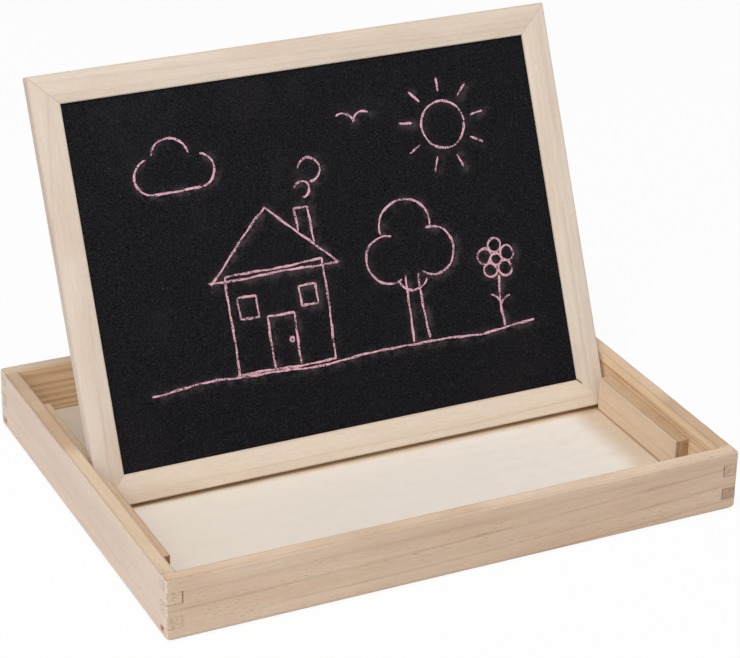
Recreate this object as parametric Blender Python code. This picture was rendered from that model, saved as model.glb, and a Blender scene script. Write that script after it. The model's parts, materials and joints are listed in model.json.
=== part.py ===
"""Magnetic drawing board that stands in its own wooden tray.

The tray is four finger-jointed walls round a thin base panel. Two rails along each side
wall leave a slot between them, and the board stands in the slots and leans back on the
rear rails. Laid flat on the rails, the board is the tray's lid. The board is a mitred,
grooved frame round a chalk sheet, a core board and a white sheet, and each mitre is held
by a V nail that is driven in from the back.

Lengths are in metres. +X runs along the front wall, +Y to the back and +Z up, and the
origin is the middle of the tray's underside.
"""

import math

import bmesh
import bpy
from mathutils import Vector

# Tray walls
TRAY_LENGTH = 0.320
TRAY_DEPTH = 0.244
TRAY_HEIGHT = 0.034
WALL_THICKNESS = 0.008
FINGER_COUNT = 5
RIM_ARRIS = 0.001
OPENING_ARRIS = 0.0008
CORNER_ARRIS = 0.001
UNDERSIDE_ARRIS = 0.0025

# Base panel, in grooves that run right through the ends of the front and back walls
BASE_THICKNESS = 0.003
BASE_LIFT = 0.0032
BASE_GROOVE_DEPTH = 0.004
BASE_PLAY = 0.0006

# Rails along the side walls, with the board's slot between them
RAIL_WIDTH = 0.008
RAIL_ARRIS = 0.0008
RAIL_END_GAP = 0.027
FRONT_RAIL_LENGTH = 0.081
SLOT_WIDTH = 0.015

# Board, which also fits the tray's opening as a lid and lies a little below the rim
BOARD_THICKNESS = 0.006
BOARD_ARRIS = 0.0007
BOARD_CORNER = 0.001
LID_SIDE_PLAY = 0.002
LID_END_PLAY = 0.0015
LID_RECESS = 0.002

# Frame sticks and the panel in their grooves
STICK_WIDTH = 0.016
WINDOW_ARRIS = 0.0007
PANEL_GROOVE_DEPTH = 0.005
PANEL_PLAY = 0.0008
SHEET_THICKNESS = 0.0003
CORE_THICKNESS = 0.0027
PANEL_LAYER_GAP = 0.00015

# V nails, measured along and across the mitre
NAIL_INSET = 0.006
NAIL_HALF_SPREAD = 0.0030
NAIL_LEG_RUN = 0.0034
NAIL_FLANGE_RUN = 0.0008
NAIL_GAUGE = 0.0005
NAIL_HEIGHT = 0.0044
NAIL_SINK = 0.0002

# Clearances
GLUE_GAP = 0.0002
REST_GAP = 0.0003
FOOT_PLAY = 0.0005

# Sizes that follow
HALF_LENGTH = TRAY_LENGTH / 2
HALF_DEPTH = TRAY_DEPTH / 2
INNER_HALF_LENGTH = HALF_LENGTH - WALL_THICKNESS
INNER_HALF_DEPTH = HALF_DEPTH - WALL_THICKNESS
FINGER_HEIGHT = TRAY_HEIGHT / FINGER_COUNT
BASE_TOP = BASE_LIFT + BASE_THICKNESS
RAIL_TOP = TRAY_HEIGHT - LID_RECESS - BOARD_THICKNESS
SLOT_FRONT = RAIL_END_GAP + FRONT_RAIL_LENGTH - INNER_HALF_DEPTH
SLOT_BACK = SLOT_FRONT + SLOT_WIDTH
BOARD_HALF_WIDTH = INNER_HALF_LENGTH - LID_SIDE_PLAY
BOARD_HALF_HEIGHT = INNER_HALF_DEPTH - LID_END_PLAY
WINDOW_HALF_WIDTH = BOARD_HALF_WIDTH - STICK_WIDTH
WINDOW_HALF_HEIGHT = BOARD_HALF_HEIGHT - STICK_WIDTH
PANEL_HALF_WIDTH = WINDOW_HALF_WIDTH + PANEL_GROOVE_DEPTH - PANEL_PLAY
PANEL_HALF_HEIGHT = WINDOW_HALF_HEIGHT + PANEL_GROOVE_DEPTH - PANEL_PLAY
PANEL_GROOVE_WIDTH = 2 * SHEET_THICKNESS + CORE_THICKNESS + 4 * PANEL_LAYER_GAP
FRAME_LIP = (BOARD_THICKNESS - PANEL_GROOVE_WIDTH) / 2

# Blanks and cutters run past the finished faces by this much
OVERRUN = WALL_THICKNESS / 2
ARC_STEPS = 4

PINE = ("pine", (0.66, 0.47, 0.30), 0.62, 0.0)
PALE_PINE = ("pale_pine", (0.78, 0.63, 0.47), 0.60, 0.0)
PLYWOOD = ("plywood", (0.80, 0.70, 0.56), 0.66, 0.0)
CHALK_BLACK = ("chalk_black", (0.012, 0.012, 0.013), 0.72, 0.0)
FIBREBOARD = ("fibreboard", (0.27, 0.17, 0.10), 0.85, 0.0)
GLOSS_WHITE = ("gloss_white", (0.86, 0.87, 0.87), 0.18, 0.0)
NAIL_STEEL = ("nail_steel", (0.45, 0.46, 0.47), 0.35, 1.0)


def clear_scene():
    """Remove whatever objects the file holds."""
    for item in list(bpy.data.objects):
        bpy.data.objects.remove(item, do_unlink=True)


def material(name, colour, roughness, metallic):
    """Return the named material, made on its first use."""
    found = bpy.data.materials.get(name)
    if found:
        return found
    made = bpy.data.materials.new(name)
    made.use_nodes = True
    shader = made.node_tree.nodes["Principled BSDF"]
    shader.inputs["Base Color"].default_value = (*colour, 1.0)
    shader.inputs["Roughness"].default_value = roughness
    shader.inputs["Metallic"].default_value = metallic
    return made


def loft(rings):
    """Skin a stack of matching rings into one closed body with flat ends."""
    body = bmesh.new()
    layers = [[body.verts.new(point) for point in ring] for ring in rings]
    for lower, upper in zip(layers, layers[1:]):
        for index, corner in enumerate(lower):
            after = (index + 1) % len(lower)
            body.faces.new((corner, lower[after], upper[after], upper[index]))
    body.faces.new(layers[0])
    body.faces.new(layers[-1])
    bmesh.ops.recalc_face_normals(body, faces=body.faces)
    return body


def rectangle(half_x, half_y, z):
    """Return a sharp rectangular ring round the origin at height z."""
    return [Vector((x * half_x, y * half_y, z)) for x, y in ((-1, -1), (1, -1), (1, 1), (-1, 1))]


def rounded_rectangle(half_x, half_y, radius, z):
    """Return a rectangular ring at height z whose corners are arcs."""
    ring = []
    for quarter, (x, y) in enumerate(((1, 1), (-1, 1), (-1, -1), (1, -1))):
        centre = Vector((x * (half_x - radius), y * (half_y - radius), z))
        for step in range(ARC_STEPS + 1):
            angle = math.pi / 2 * (quarter + step / ARC_STEPS)
            ring.append(centre + Vector((math.cos(angle), math.sin(angle), 0)) * radius)
    return ring


def arris_steps(radius):
    """Return inset and rise along a quarter round, from the flat face to the side."""
    angles = [math.pi / 2 * step / ARC_STEPS for step in range(ARC_STEPS + 1)]
    return [(radius * (1 - math.sin(angle)), radius * (1 - math.cos(angle))) for angle in angles]


def block(half_x, half_y, low, high):
    """Return a plain block round the Z axis."""
    return loft([rectangle(half_x, half_y, low), rectangle(half_x, half_y, high)])


def sanded_block(half_x, half_y, low, high, corner, low_arris, high_arris):
    """Return the outer shape that sanding leaves: arcs on every arris and corner."""
    levels = [(inset, low + rise) for inset, rise in arris_steps(low_arris)]
    levels += [(inset, high - rise) for inset, rise in reversed(arris_steps(high_arris))]
    rings = [rounded_rectangle(half_x - inset, half_y - inset, corner + inset, z) for inset, z in levels]
    return loft(rings)


def opening_flare(half_x, half_y, face, outward, radius):
    """Return the cutter that rounds an opening's arris over to the face at that height."""
    rings = []
    for inset, rise in reversed(arris_steps(radius)):
        rings.append(rectangle(half_x + inset, half_y + inset, face - outward * rise))
    rings.append(rectangle(half_x + radius, half_y + radius, face + outward * OVERRUN))
    return loft(rings)


def add_piece(name, body, finish, parent=None):
    """Turn a body into a named object with its material."""
    mesh = bpy.data.meshes.new(name)
    body.to_mesh(mesh)
    body.free()
    mesh.materials.append(material(*finish))
    piece = bpy.data.objects.new(name, mesh)
    piece.parent = parent
    bpy.context.collection.objects.link(piece)
    return piece


def add_cutter(name, body, parent=None):
    """Turn a body into a hidden object that only shapes others."""
    cutter = add_piece(name, body, PLYWOOD, parent)
    cutter.hide_render = True
    cutter.display_type = "WIRE"
    return cutter


def shape(piece, cutter, operation="DIFFERENCE"):
    """Cut a piece with a cutter, or keep only what they share."""
    modifier = piece.modifiers.new(cutter.name, "BOOLEAN")
    modifier.operation = operation
    modifier.solver = "EXACT"
    modifier.object = cutter


def finger_outline(reach, shoulder, first_finger):
    """Return a wall blank's outline in length and height, with fingers at both ends.

    Every second band from first_finger runs out to reach. The others stop at shoulder.
    """
    ends = []
    for band in range(FINGER_COUNT):
        is_finger = band % 2 == first_finger
        ease = -GLUE_GAP / 2 if is_finger else GLUE_GAP / 2
        low = band * FINGER_HEIGHT - ease if band else -OVERRUN
        high = (band + 1) * FINGER_HEIGHT + ease if band < FINGER_COUNT - 1 else TRAY_HEIGHT + OVERRUN
        along = reach if is_finger else shoulder
        ends += [(along, low), (along, high)]
    return ends + [(-along, height) for along, height in reversed(ends)]


def cross_wall(side):
    """Return the blank of the front wall (side -1) or the back wall (side 1)."""
    outline = finger_outline(HALF_LENGTH + OVERRUN, INNER_HALF_LENGTH - GLUE_GAP, 0)
    faces = (INNER_HALF_DEPTH, HALF_DEPTH + OVERRUN)
    return loft([[Vector((along, side * face, height)) for along, height in outline] for face in faces])


def side_wall(side):
    """Return the blank of the left wall (side -1) or the right wall (side 1)."""
    outline = finger_outline(HALF_DEPTH + OVERRUN, INNER_HALF_DEPTH - GLUE_GAP, 1)
    faces = (INNER_HALF_LENGTH, HALF_LENGTH + OVERRUN)
    return loft([[Vector((side * face, along, height)) for along, height in outline] for face in faces])


def build_walls():
    """Make the four walls: fingers, through grooves, sanded outside and a rounded rim."""
    low, high = BASE_LIFT - GLUE_GAP, BASE_TOP + GLUE_GAP
    grooved_length = INNER_HALF_LENGTH + BASE_GROOVE_DEPTH
    grooved_depth = INNER_HALF_DEPTH + BASE_GROOVE_DEPTH
    past_length, past_depth = HALF_LENGTH + 2 * OVERRUN, HALF_DEPTH + 2 * OVERRUN
    outside = sanded_block(
        HALF_LENGTH, HALF_DEPTH, 0, TRAY_HEIGHT, CORNER_ARRIS, UNDERSIDE_ARRIS, RIM_ARRIS)
    rim = opening_flare(INNER_HALF_LENGTH, INNER_HALF_DEPTH, TRAY_HEIGHT, 1, OPENING_ARRIS)
    outside_shape = add_cutter("outside_shape", outside)
    rim_flare = add_cutter("rim_flare", rim)
    cross_groove = add_cutter("cross_groove", block(past_length, grooved_depth, low, high))
    side_groove = add_cutter("side_groove", block(grooved_length, past_depth, low, high))
    walls = (
        ("front_wall", cross_wall(-1), cross_groove),
        ("back_wall", cross_wall(1), cross_groove),
        ("left_wall", side_wall(-1), side_groove),
        ("right_wall", side_wall(1), side_groove),
    )
    for name, blank, groove in walls:
        wall = add_piece(name, blank, PINE)
        shape(wall, outside_shape, "INTERSECT")
        shape(wall, groove)
        shape(wall, rim_flare)


def build_base():
    """Make the base panel, which floats in the walls' grooves."""
    reach = BASE_GROOVE_DEPTH - BASE_PLAY
    panel = block(INNER_HALF_LENGTH + reach, INNER_HALF_DEPTH + reach, BASE_LIFT, BASE_TOP)
    add_piece("base_panel", panel, PLYWOOD)


def build_rails():
    """Make the four rails, glued to the side walls and the base."""
    rail_end = INNER_HALF_DEPTH - RAIL_END_GAP
    spans = {"front": (-rail_end, SLOT_FRONT), "back": (SLOT_BACK, rail_end)}
    height = RAIL_TOP - BASE_TOP - GLUE_GAP
    for side_name, side in (("left", -1), ("right", 1)):
        for span_name, (start, end) in spans.items():
            rail = block(RAIL_WIDTH / 2, (end - start) / 2, -height / 2, height / 2)
            piece = add_piece(f"rail_{span_name}_{side_name}", rail, PINE)
            from_middle = INNER_HALF_LENGTH - GLUE_GAP - RAIL_WIDTH / 2
            piece.location = (side * from_middle, (start + end) / 2, RAIL_TOP - height / 2)
            bevel = piece.modifiers.new("eased_arrises", "BEVEL")
            bevel.width = RAIL_ARRIS
            bevel.segments = ARC_STEPS


def foot_height(lean):
    """Return the height of the board's lower front edge when it stands at this lean."""
    rounding = BOARD_ARRIS * (math.cos(lean) + math.sin(lean) - 1)
    return BASE_TOP + REST_GAP + BOARD_THICKNESS * math.sin(lean) - rounding


def room_behind(lean):
    """Return the space that is left between the board's back and the rear rails' arris."""
    across = SLOT_WIDTH - FOOT_PLAY + RAIL_ARRIS
    above = RAIL_TOP - RAIL_ARRIS - foot_height(lean)
    reach = across * math.cos(lean) - above * math.sin(lean)
    return reach - BOARD_THICKNESS - RAIL_ARRIS - REST_GAP


def lean_angle():
    """Return the lean at which the board's back just rests on the rear rails."""
    upright, flat = 0.0, math.pi / 3
    for _ in range(50):
        middle = (upright + flat) / 2
        if room_behind(middle) > 0:
            upright = middle
        else:
            flat = middle
    return upright


def board_carrier():
    """Return the empty at the middle of the board's front face, square to the board.

    Its X runs across the board, its Y up the board's slide and its Z out of the face.
    """
    lean = lean_angle()
    slide = Vector((0, math.sin(lean), math.cos(lean)))
    foot = Vector((0, SLOT_FRONT + FOOT_PLAY, foot_height(lean)))
    carrier = bpy.data.objects.new("board_carrier", None)
    carrier.location = foot + slide * BOARD_HALF_HEIGHT
    carrier.rotation_euler.x = math.pi / 2 - lean
    bpy.context.collection.objects.link(carrier)
    return carrier


def stick_profile():
    """Return a stick's section: distance in from the outer edge, and height of the face.

    The outer sides carry the stock that sanding takes off. The inner edge is at its size.
    """
    front, back = OVERRUN, -BOARD_THICKNESS - OVERRUN
    groove_floor = STICK_WIDTH - PANEL_GROOVE_DEPTH
    groove_front, groove_back = -FRAME_LIP, FRAME_LIP - BOARD_THICKNESS
    return [
        (-OVERRUN, front), (-OVERRUN, back), (STICK_WIDTH, back), (STICK_WIDTH, groove_back),
        (groove_floor, groove_back), (groove_floor, groove_front),
        (STICK_WIDTH, groove_front), (STICK_WIDTH, front),
    ]


def mitred_stick(outward, edge_distance, half_edge):
    """Return a stick's blank between its two mitres.

    outward points from the board's middle to the stick's outer edge, edge_distance away.
    """
    along = Vector((-outward.y, outward.x, 0))
    mitre_ease = GLUE_GAP / 2 * math.sqrt(2)
    rings = []
    for end in (-1, 1):
        ring = []
        for inset, z in stick_profile():
            point = outward * (edge_distance - inset) + along * end * (half_edge - inset - mitre_ease)
            ring.append(point + Vector((0, 0, z)))
        rings.append(ring)
    return loft(rings)


def ribbon(path, thickness):
    """Return the closed outline of a strip of this thickness along a path in X and Y."""
    left, right = [], []
    for index, point in enumerate(path):
        before = (point - path[index - 1]).normalized() if index else None
        after = (path[index + 1] - point).normalized() if index < len(path) - 1 else None
        ahead = ((before or after) + (after or before)).normalized()
        normal = Vector((-ahead.y, ahead.x))
        widen = thickness / 2 / ahead.dot(after or before)
        left.append(point + normal * widen)
        right.append(point - normal * widen)
    return left + right[::-1]


def nail_path():
    """Return the V nail's line: X along the mitre to the outer corner, Y across it."""
    apex, tip = -NAIL_LEG_RUN / 2, NAIL_LEG_RUN / 2
    flange_spread = NAIL_HALF_SPREAD + NAIL_FLANGE_RUN
    flange_back = tip - NAIL_FLANGE_RUN
    half = [Vector((flange_back, flange_spread)), Vector((tip, NAIL_HALF_SPREAD))]
    mirrored = [Vector((point.x, -point.y)) for point in reversed(half)]
    return half + [Vector((apex, 0))] + mirrored


def nail_body(corner_x, corner_y, thickness, low, high):
    """Return the V nail, or its slot, at one corner of the frame."""
    centre = Vector((
        corner_x * (BOARD_HALF_WIDTH - NAIL_INSET), corner_y * (BOARD_HALF_HEIGHT - NAIL_INSET)))
    along = Vector((corner_x, corner_y)).normalized()
    across = Vector((-along.y, along.x))
    outline = [centre + along * p.x + across * p.y for p in ribbon(nail_path(), thickness)]
    return loft([[Vector((point.x, point.y, z)) for point in outline] for z in (low, high)])


def build_frame(carrier):
    """Make the four mitred sticks and the V nails that hold them together."""
    back = -BOARD_THICKNESS
    outside = sanded_block(
        BOARD_HALF_WIDTH, BOARD_HALF_HEIGHT, back, 0, BOARD_CORNER, BOARD_ARRIS, BOARD_ARRIS)
    window = (WINDOW_HALF_WIDTH, WINDOW_HALF_HEIGHT)
    cutters = [
        add_cutter("window_flare", opening_flare(*window, 0, 1, WINDOW_ARRIS), carrier),
        add_cutter("window_flare_back", opening_flare(*window, back, -1, WINDOW_ARRIS), carrier),
    ]
    board_shape = add_cutter("board_shape", outside, carrier)
    corners = {"top_left": (-1, 1), "top_right": (1, 1), "bottom_left": (-1, -1), "bottom_right": (1, -1)}
    nail_low = back + NAIL_SINK
    nail_high = nail_low + NAIL_HEIGHT
    for name, corner in corners.items():
        nail = nail_body(*corner, NAIL_GAUGE, nail_low, nail_high)
        slot = nail_body(*corner, NAIL_GAUGE + 2 * GLUE_GAP, back - OVERRUN, nail_high + GLUE_GAP)
        add_piece(f"v_nail_{name}", nail, NAIL_STEEL, carrier)
        cutters.append(add_cutter(f"nail_slot_{name}", slot, carrier))
    sticks = (
        ("frame_top_rail", Vector((0, 1, 0)), BOARD_HALF_HEIGHT, BOARD_HALF_WIDTH),
        ("frame_bottom_rail", Vector((0, -1, 0)), BOARD_HALF_HEIGHT, BOARD_HALF_WIDTH),
        ("frame_left_stile", Vector((-1, 0, 0)), BOARD_HALF_WIDTH, BOARD_HALF_HEIGHT),
        ("frame_right_stile", Vector((1, 0, 0)), BOARD_HALF_WIDTH, BOARD_HALF_HEIGHT),
    )
    for name, outward, edge_distance, half_edge in sticks:
        stick = add_piece(name, mitred_stick(outward, edge_distance, half_edge), PALE_PINE, carrier)
        shape(stick, board_shape, "INTERSECT")
        for cutter in cutters:
            shape(stick, cutter)


def build_panel(carrier):
    """Make the panel's three layers, from the front face to the back one."""
    layers = (
        ("chalk_sheet", SHEET_THICKNESS, CHALK_BLACK),
        ("core_board", CORE_THICKNESS, FIBREBOARD),
        ("white_sheet", SHEET_THICKNESS, GLOSS_WHITE),
    )
    face = -FRAME_LIP - PANEL_LAYER_GAP
    for name, thickness, finish in layers:
        layer = block(PANEL_HALF_WIDTH, PANEL_HALF_HEIGHT, face - thickness, face)
        add_piece(name, layer, finish, carrier)
        face -= thickness + PANEL_LAYER_GAP


def main():
    clear_scene()
    build_walls()
    build_base()
    build_rails()
    carrier = board_carrier()
    build_frame(carrier)
    build_panel(carrier)


main()
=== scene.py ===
"""Looks of the magnetic drawing board that stands in its own wooden tray.

Lengths are in metres in the meshes and in millimetres in the finishes. +X runs along the
front wall, +Y to the back and +Z up, and the origin is the middle of the tray's underside.
A face looks in a direction if its normal's share of it is over FACING.
"""

import json
import logging
import math
from dataclasses import dataclass, field
from enum import Enum
from typing import Any, Iterable, Sequence

import bmesh
import bpy
import numpy as np
from mathutils import Matrix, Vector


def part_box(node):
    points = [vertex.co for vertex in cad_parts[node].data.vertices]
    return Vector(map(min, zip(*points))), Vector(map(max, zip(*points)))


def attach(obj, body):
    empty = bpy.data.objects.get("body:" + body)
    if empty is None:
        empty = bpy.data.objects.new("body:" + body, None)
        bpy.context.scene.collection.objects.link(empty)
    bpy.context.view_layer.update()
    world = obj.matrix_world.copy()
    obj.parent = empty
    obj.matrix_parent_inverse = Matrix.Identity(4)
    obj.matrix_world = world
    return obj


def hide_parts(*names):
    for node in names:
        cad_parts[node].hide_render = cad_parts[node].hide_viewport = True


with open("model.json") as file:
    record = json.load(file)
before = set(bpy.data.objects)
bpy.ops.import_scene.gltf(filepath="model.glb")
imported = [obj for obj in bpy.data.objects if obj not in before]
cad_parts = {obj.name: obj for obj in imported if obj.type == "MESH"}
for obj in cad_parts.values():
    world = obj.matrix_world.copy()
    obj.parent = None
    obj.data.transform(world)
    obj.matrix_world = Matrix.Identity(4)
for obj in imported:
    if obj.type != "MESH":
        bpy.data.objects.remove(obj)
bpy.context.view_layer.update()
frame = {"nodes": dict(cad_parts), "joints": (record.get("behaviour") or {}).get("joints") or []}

LOG = logging.getLogger("magnetic_board")

Colour = tuple[float, float, float]
Triple = tuple[float, float, float]

MILLIMETRE = 0.001
SHARP_EDGE = math.radians(32)
MERGE_DISTANCE = 2e-6
FACING = 0.6


# Shader maths


class Term:
    """A number that varies over a surface, with the operators that shader maths needs."""

    def __init__(self, recipe: "Recipe", socket: bpy.types.NodeSocket) -> None:
        """Wrap an output socket of a recipe's node."""
        self.recipe = recipe
        self.socket = socket

    def math(self, operation: str, *others: Any) -> "Term":
        """Return the result of a Math node on this term and others.

        Args:
            operation: The Math node's operation.
            others: Terms or numbers for its further sockets.

        Returns:
            The node's value.
        """
        inputs = dict(enumerate((self, *others)))
        return self.recipe.node("ShaderNodeMath", {"operation": operation}, inputs)

    def __add__(self, other: Any) -> "Term":
        """Add."""
        return self.math("ADD", other)

    __radd__ = __add__

    def __sub__(self, other: Any) -> "Term":
        """Subtract."""
        return self.math("SUBTRACT", other)

    def __rsub__(self, other: float) -> "Term":
        """Subtract this term from a number."""
        return self.recipe.constant(other).math("SUBTRACT", self)

    def __mul__(self, other: Any) -> "Term":
        """Multiply."""
        return self.math("MULTIPLY", other)

    __rmul__ = __mul__

    def __truediv__(self, other: Any) -> "Term":
        """Divide."""
        return self.math("DIVIDE", other)

    def __abs__(self) -> "Term":
        """Drop the sign."""
        return self.math("ABSOLUTE")

    def rise(self, low: Any, high: Any) -> "Term":
        """Return a smooth step: 0 up to low and 1 from high on."""
        settings = {"interpolation_type": "SMOOTHSTEP"}
        return self.recipe.node("ShaderNodeMapRange", settings, {0: self, 1: low, 2: high})

    def fall(self, low: Any, high: Any) -> "Term":
        """Return a smooth step down: 1 up to low and 0 from high on."""
        return 1.0 - self.rise(low, high)


class Recipe:
    """The node tree of one finish. Every node in it comes from the method place."""

    def __init__(self, name: str) -> None:
        """Start a material that has no nodes yet."""
        self.material = bpy.data.materials.new(name)
        self.material.use_nodes = True
        self.tree = self.material.node_tree
        self.tree.nodes.clear()

    def place(self, kind: str, settings: dict[str, Any], inputs: dict[Any, Any]) -> bpy.types.Node:
        """Add a node, with its settings first and its sockets after them.

        Args:
            kind: The node's type name.
            settings: Its properties, by name.
            inputs: Numbers, vectors, terms or sockets, by the socket's name or place.

        Returns:
            The node.
        """
        made = self.tree.nodes.new(kind)
        for key, value in settings.items():
            setattr(made, key, value)
        for key, value in inputs.items():
            source = value.socket if isinstance(value, Term) else value
            if isinstance(source, bpy.types.NodeSocket):
                self.tree.links.new(source, made.inputs[key])
            else:
                made.inputs[key].default_value = source
        return made

    def node(self, kind: str, settings: dict[str, Any], inputs: dict[Any, Any],
             output: Any = 0) -> Term:
        """Add a node as place does, and return one of its outputs as a term."""
        return Term(self, self.place(kind, settings, inputs).outputs[output])

    def constant(self, value: float) -> Term:
        """Return a plain number as a term."""
        return self.node("ShaderNodeMath", {"operation": "ADD"}, {0: value, 1: 0.0})

    def object_point(self) -> Term:
        """Return the place on the object in millimetres."""
        metres = self.node("ShaderNodeTexCoord", {}, {}, "Object")
        return self.scaled(metres, 1 / MILLIMETRE)

    def attribute(self, name: str) -> Term:
        """Return a number that the mesh carries."""
        settings = {"attribute_type": "GEOMETRY", "attribute_name": name}
        return self.node("ShaderNodeAttribute", settings, {}, "Fac")

    def scaled(self, vector: Any, scale: Any) -> Term:
        """Return a vector or colour times a number."""
        inputs = {0: vector, "Scale": scale}
        return self.node("ShaderNodeVectorMath", {"operation": "SCALE"}, inputs)

    def along(self, vector: Term, axis: Triple) -> Term:
        """Return how far a vector reaches along an axis."""
        inputs = {0: vector, 1: axis}
        return self.node("ShaderNodeVectorMath", {"operation": "DOT_PRODUCT"}, inputs, "Value")

    def noise(self, vector: Term, scale: float = 1.0, detail: float = 2.0,
              roughness: float = 0.5) -> Term:
        """Return smooth noise from 0 to 1, about one wave for each 1 / scale."""
        inputs = {"Vector": vector, "Scale": scale, "Detail": detail, "Roughness": roughness}
        return self.node("ShaderNodeTexNoise", {"noise_dimensions": "3D"}, inputs)

    def waves(self, x: Any, y: Any, z: Any, detail: float = 2.0, roughness: float = 0.5) -> Term:
        """Return smooth noise from 0 to 1 at a place given by three numbers."""
        place = self.node("ShaderNodeCombineXYZ", {}, {0: x, 1: y, 2: z})
        return self.noise(place, detail=detail, roughness=roughness)

    def specks(self, vector: Term, scale: float) -> Term:
        """Return the distance to the nearest of the points that are strewn over space."""
        inputs = {"Vector": vector, "Scale": scale}
        return self.node("ShaderNodeTexVoronoi", {"feature": "F1"}, inputs, "Distance")

    def mix(self, low: Any, high: Any, share: Any, blend: str = "MIX") -> Term:
        """Return a colour between two others, or their blend."""
        settings = {"data_type": "RGBA", "blend_type": blend, "clamp_factor": True}
        inputs = {0: share, 6: padded(low), 7: padded(high)}
        return self.node("ShaderNodeMix", settings, inputs, 2)

    def tinted(self, colour: Any, tint: Any, share: Any) -> Term:
        """Return a colour that is multiplied by a tint, as far as the share goes."""
        return self.mix(colour, tint, share, "MULTIPLY")

    def bump(self, height: Term, depth: float) -> Term:
        """Return the normal of a relief whose height of 1 stands depth millimetres proud."""
        return self.node("ShaderNodeBump", {}, {"Height": height, "Distance": depth * MILLIMETRE})

    def surface(self, colour: Any, roughness: Any, normal: Term | None = None,
                **fixed: float) -> bpy.types.Material:
        """Finish the material with one Principled shader.

        Args:
            colour: The base colour.
            roughness: The roughness.
            normal: The relief's normal, if it has one.
            fixed: Further sockets that are the same all over, by name with _ for a space.

        Returns:
            The finished material.
        """
        inputs = {"Base Color": padded(colour), "Roughness": roughness}
        if normal is not None:
            inputs["Normal"] = normal
        inputs.update({key.replace("_", " "): value for key, value in fixed.items()})
        shader = self.place("ShaderNodeBsdfPrincipled", {}, inputs)
        self.place("ShaderNodeOutputMaterial", {}, {"Surface": shader.outputs[0]})
        return self.material


def padded(colour: Any) -> Any:
    """Return a colour of three numbers with its alpha, and anything else as it is."""
    return (*colour, 1.0) if isinstance(colour, tuple) and len(colour) == 3 else colour


def srgb(red: float, green: float, blue: float) -> Colour:
    """Return the linear colour of display values from 0 to 255."""
    shares = np.array((red, green, blue)) / 255
    linear = np.where(shares <= 0.04045, shares / 12.92, ((shares + 0.055) / 1.055) ** 2.4)
    return tuple(float(value) for value in linear)


# Finishes


@dataclass(frozen=True)
class Streak:
    """One dark line along a piece: a dark year, a band that shades a stretch, or painted shade.

    It lies at a height across the piece, which slope and bend carry along the length in a
    straight line and a parabola. All lengths are in millimetres.
    """

    across: float
    width: float
    depth: float
    wobble: float
    slope: float = 0.0
    bend: float = 0.0
    start: float = -1000.0
    end: float = 1000.0


@dataclass(frozen=True)
class Cut:
    """How a piece was sawn from its log, in millimetres.

    The pith is the log's middle, given across and through the piece, and it may lean by
    a share of the length. A ring is one year's width.
    """

    pith: tuple[float, float]
    ring: float
    wander: float
    contrast: float
    seed: float
    lean: tuple[float, float] = (0.0, 0.0)
    flecks: float = 0.6
    streaks: tuple[Streak, ...] = ()


@dataclass(frozen=True)
class Tone:
    """A piece's colours, as display values: its faces, upper face, end grain and outside."""

    # face, top and outside are the wood's own tone with painted light and shade: each is lighter
    # or darker for the light that faces that way get
    face: Colour
    top: Colour
    end: Colour
    end_low: Colour | None = None
    outside: Colour | None = None


@dataclass(frozen=True)
class Lie:
    """A piece's own directions, and the place that its grain is measured from."""

    along: Triple
    across: Triple
    through: Triple
    origin: Triple = (0.0, 0.0, 0.0)

    def offset(self, axis: Triple) -> float:
        """Return where the origin lies on an axis, in millimetres."""
        return float(np.dot(self.origin, axis)) / MILLIMETRE


@dataclass(frozen=True)
class Waves:
    """Noise drawn out along the fibres, in waves for each millimetre along and across them."""

    along: float
    across: float
    detail: float = 2.0
    roughness: float = 0.5


FIBRE = Waves(0.05, 2.4, 3.0, 0.65)
BAND = Waves(0.012, 0.55)
MOTTLE = Waves(0.22, 1.1)
FUZZ = Waves(0.9, 1.3, 2.0, 0.7)
FLECK = Waves(0.27, 2.2, 1.0)
STREWN = Waves(0.02, 0.12, 1.0)
CLOUD = Waves(0.011, 0.05)
SLOW_DRIFT = Waves(0.006, 0.035, 1.0)
QUICK_DRIFT = Waves(0.030, 0.16)
WORN = Waves(0.30, 0.30, 3.0)
SHADES = ((BAND, 0.12), (MOTTLE, 0.14), (FUZZ, 0.16))


class GrainPoint:
    """A point of a planed piece, in millimetres: s along its fibres, u across, v through."""

    def __init__(self, recipe: Recipe, lie: Lie) -> None:
        """Measure the point from the piece's own origin."""
        self.recipe = recipe
        place = recipe.object_point()
        axes = (lie.along, lie.across, lie.through)
        self.s, self.u, self.v = (recipe.along(place, axis) - lie.offset(axis) for axis in axes)

    def noise(self, waves: Waves, s: float = 0.0, u: float = 0.0, v: float = 0.0) -> Term:
        """Return a piece's noise, moved by s, u and v in its own space."""
        place = (self.s * waves.along + s, self.u * waves.across + u, self.v * waves.across + v)
        return self.recipe.waves(*place, waves.detail, waves.roughness)


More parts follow.
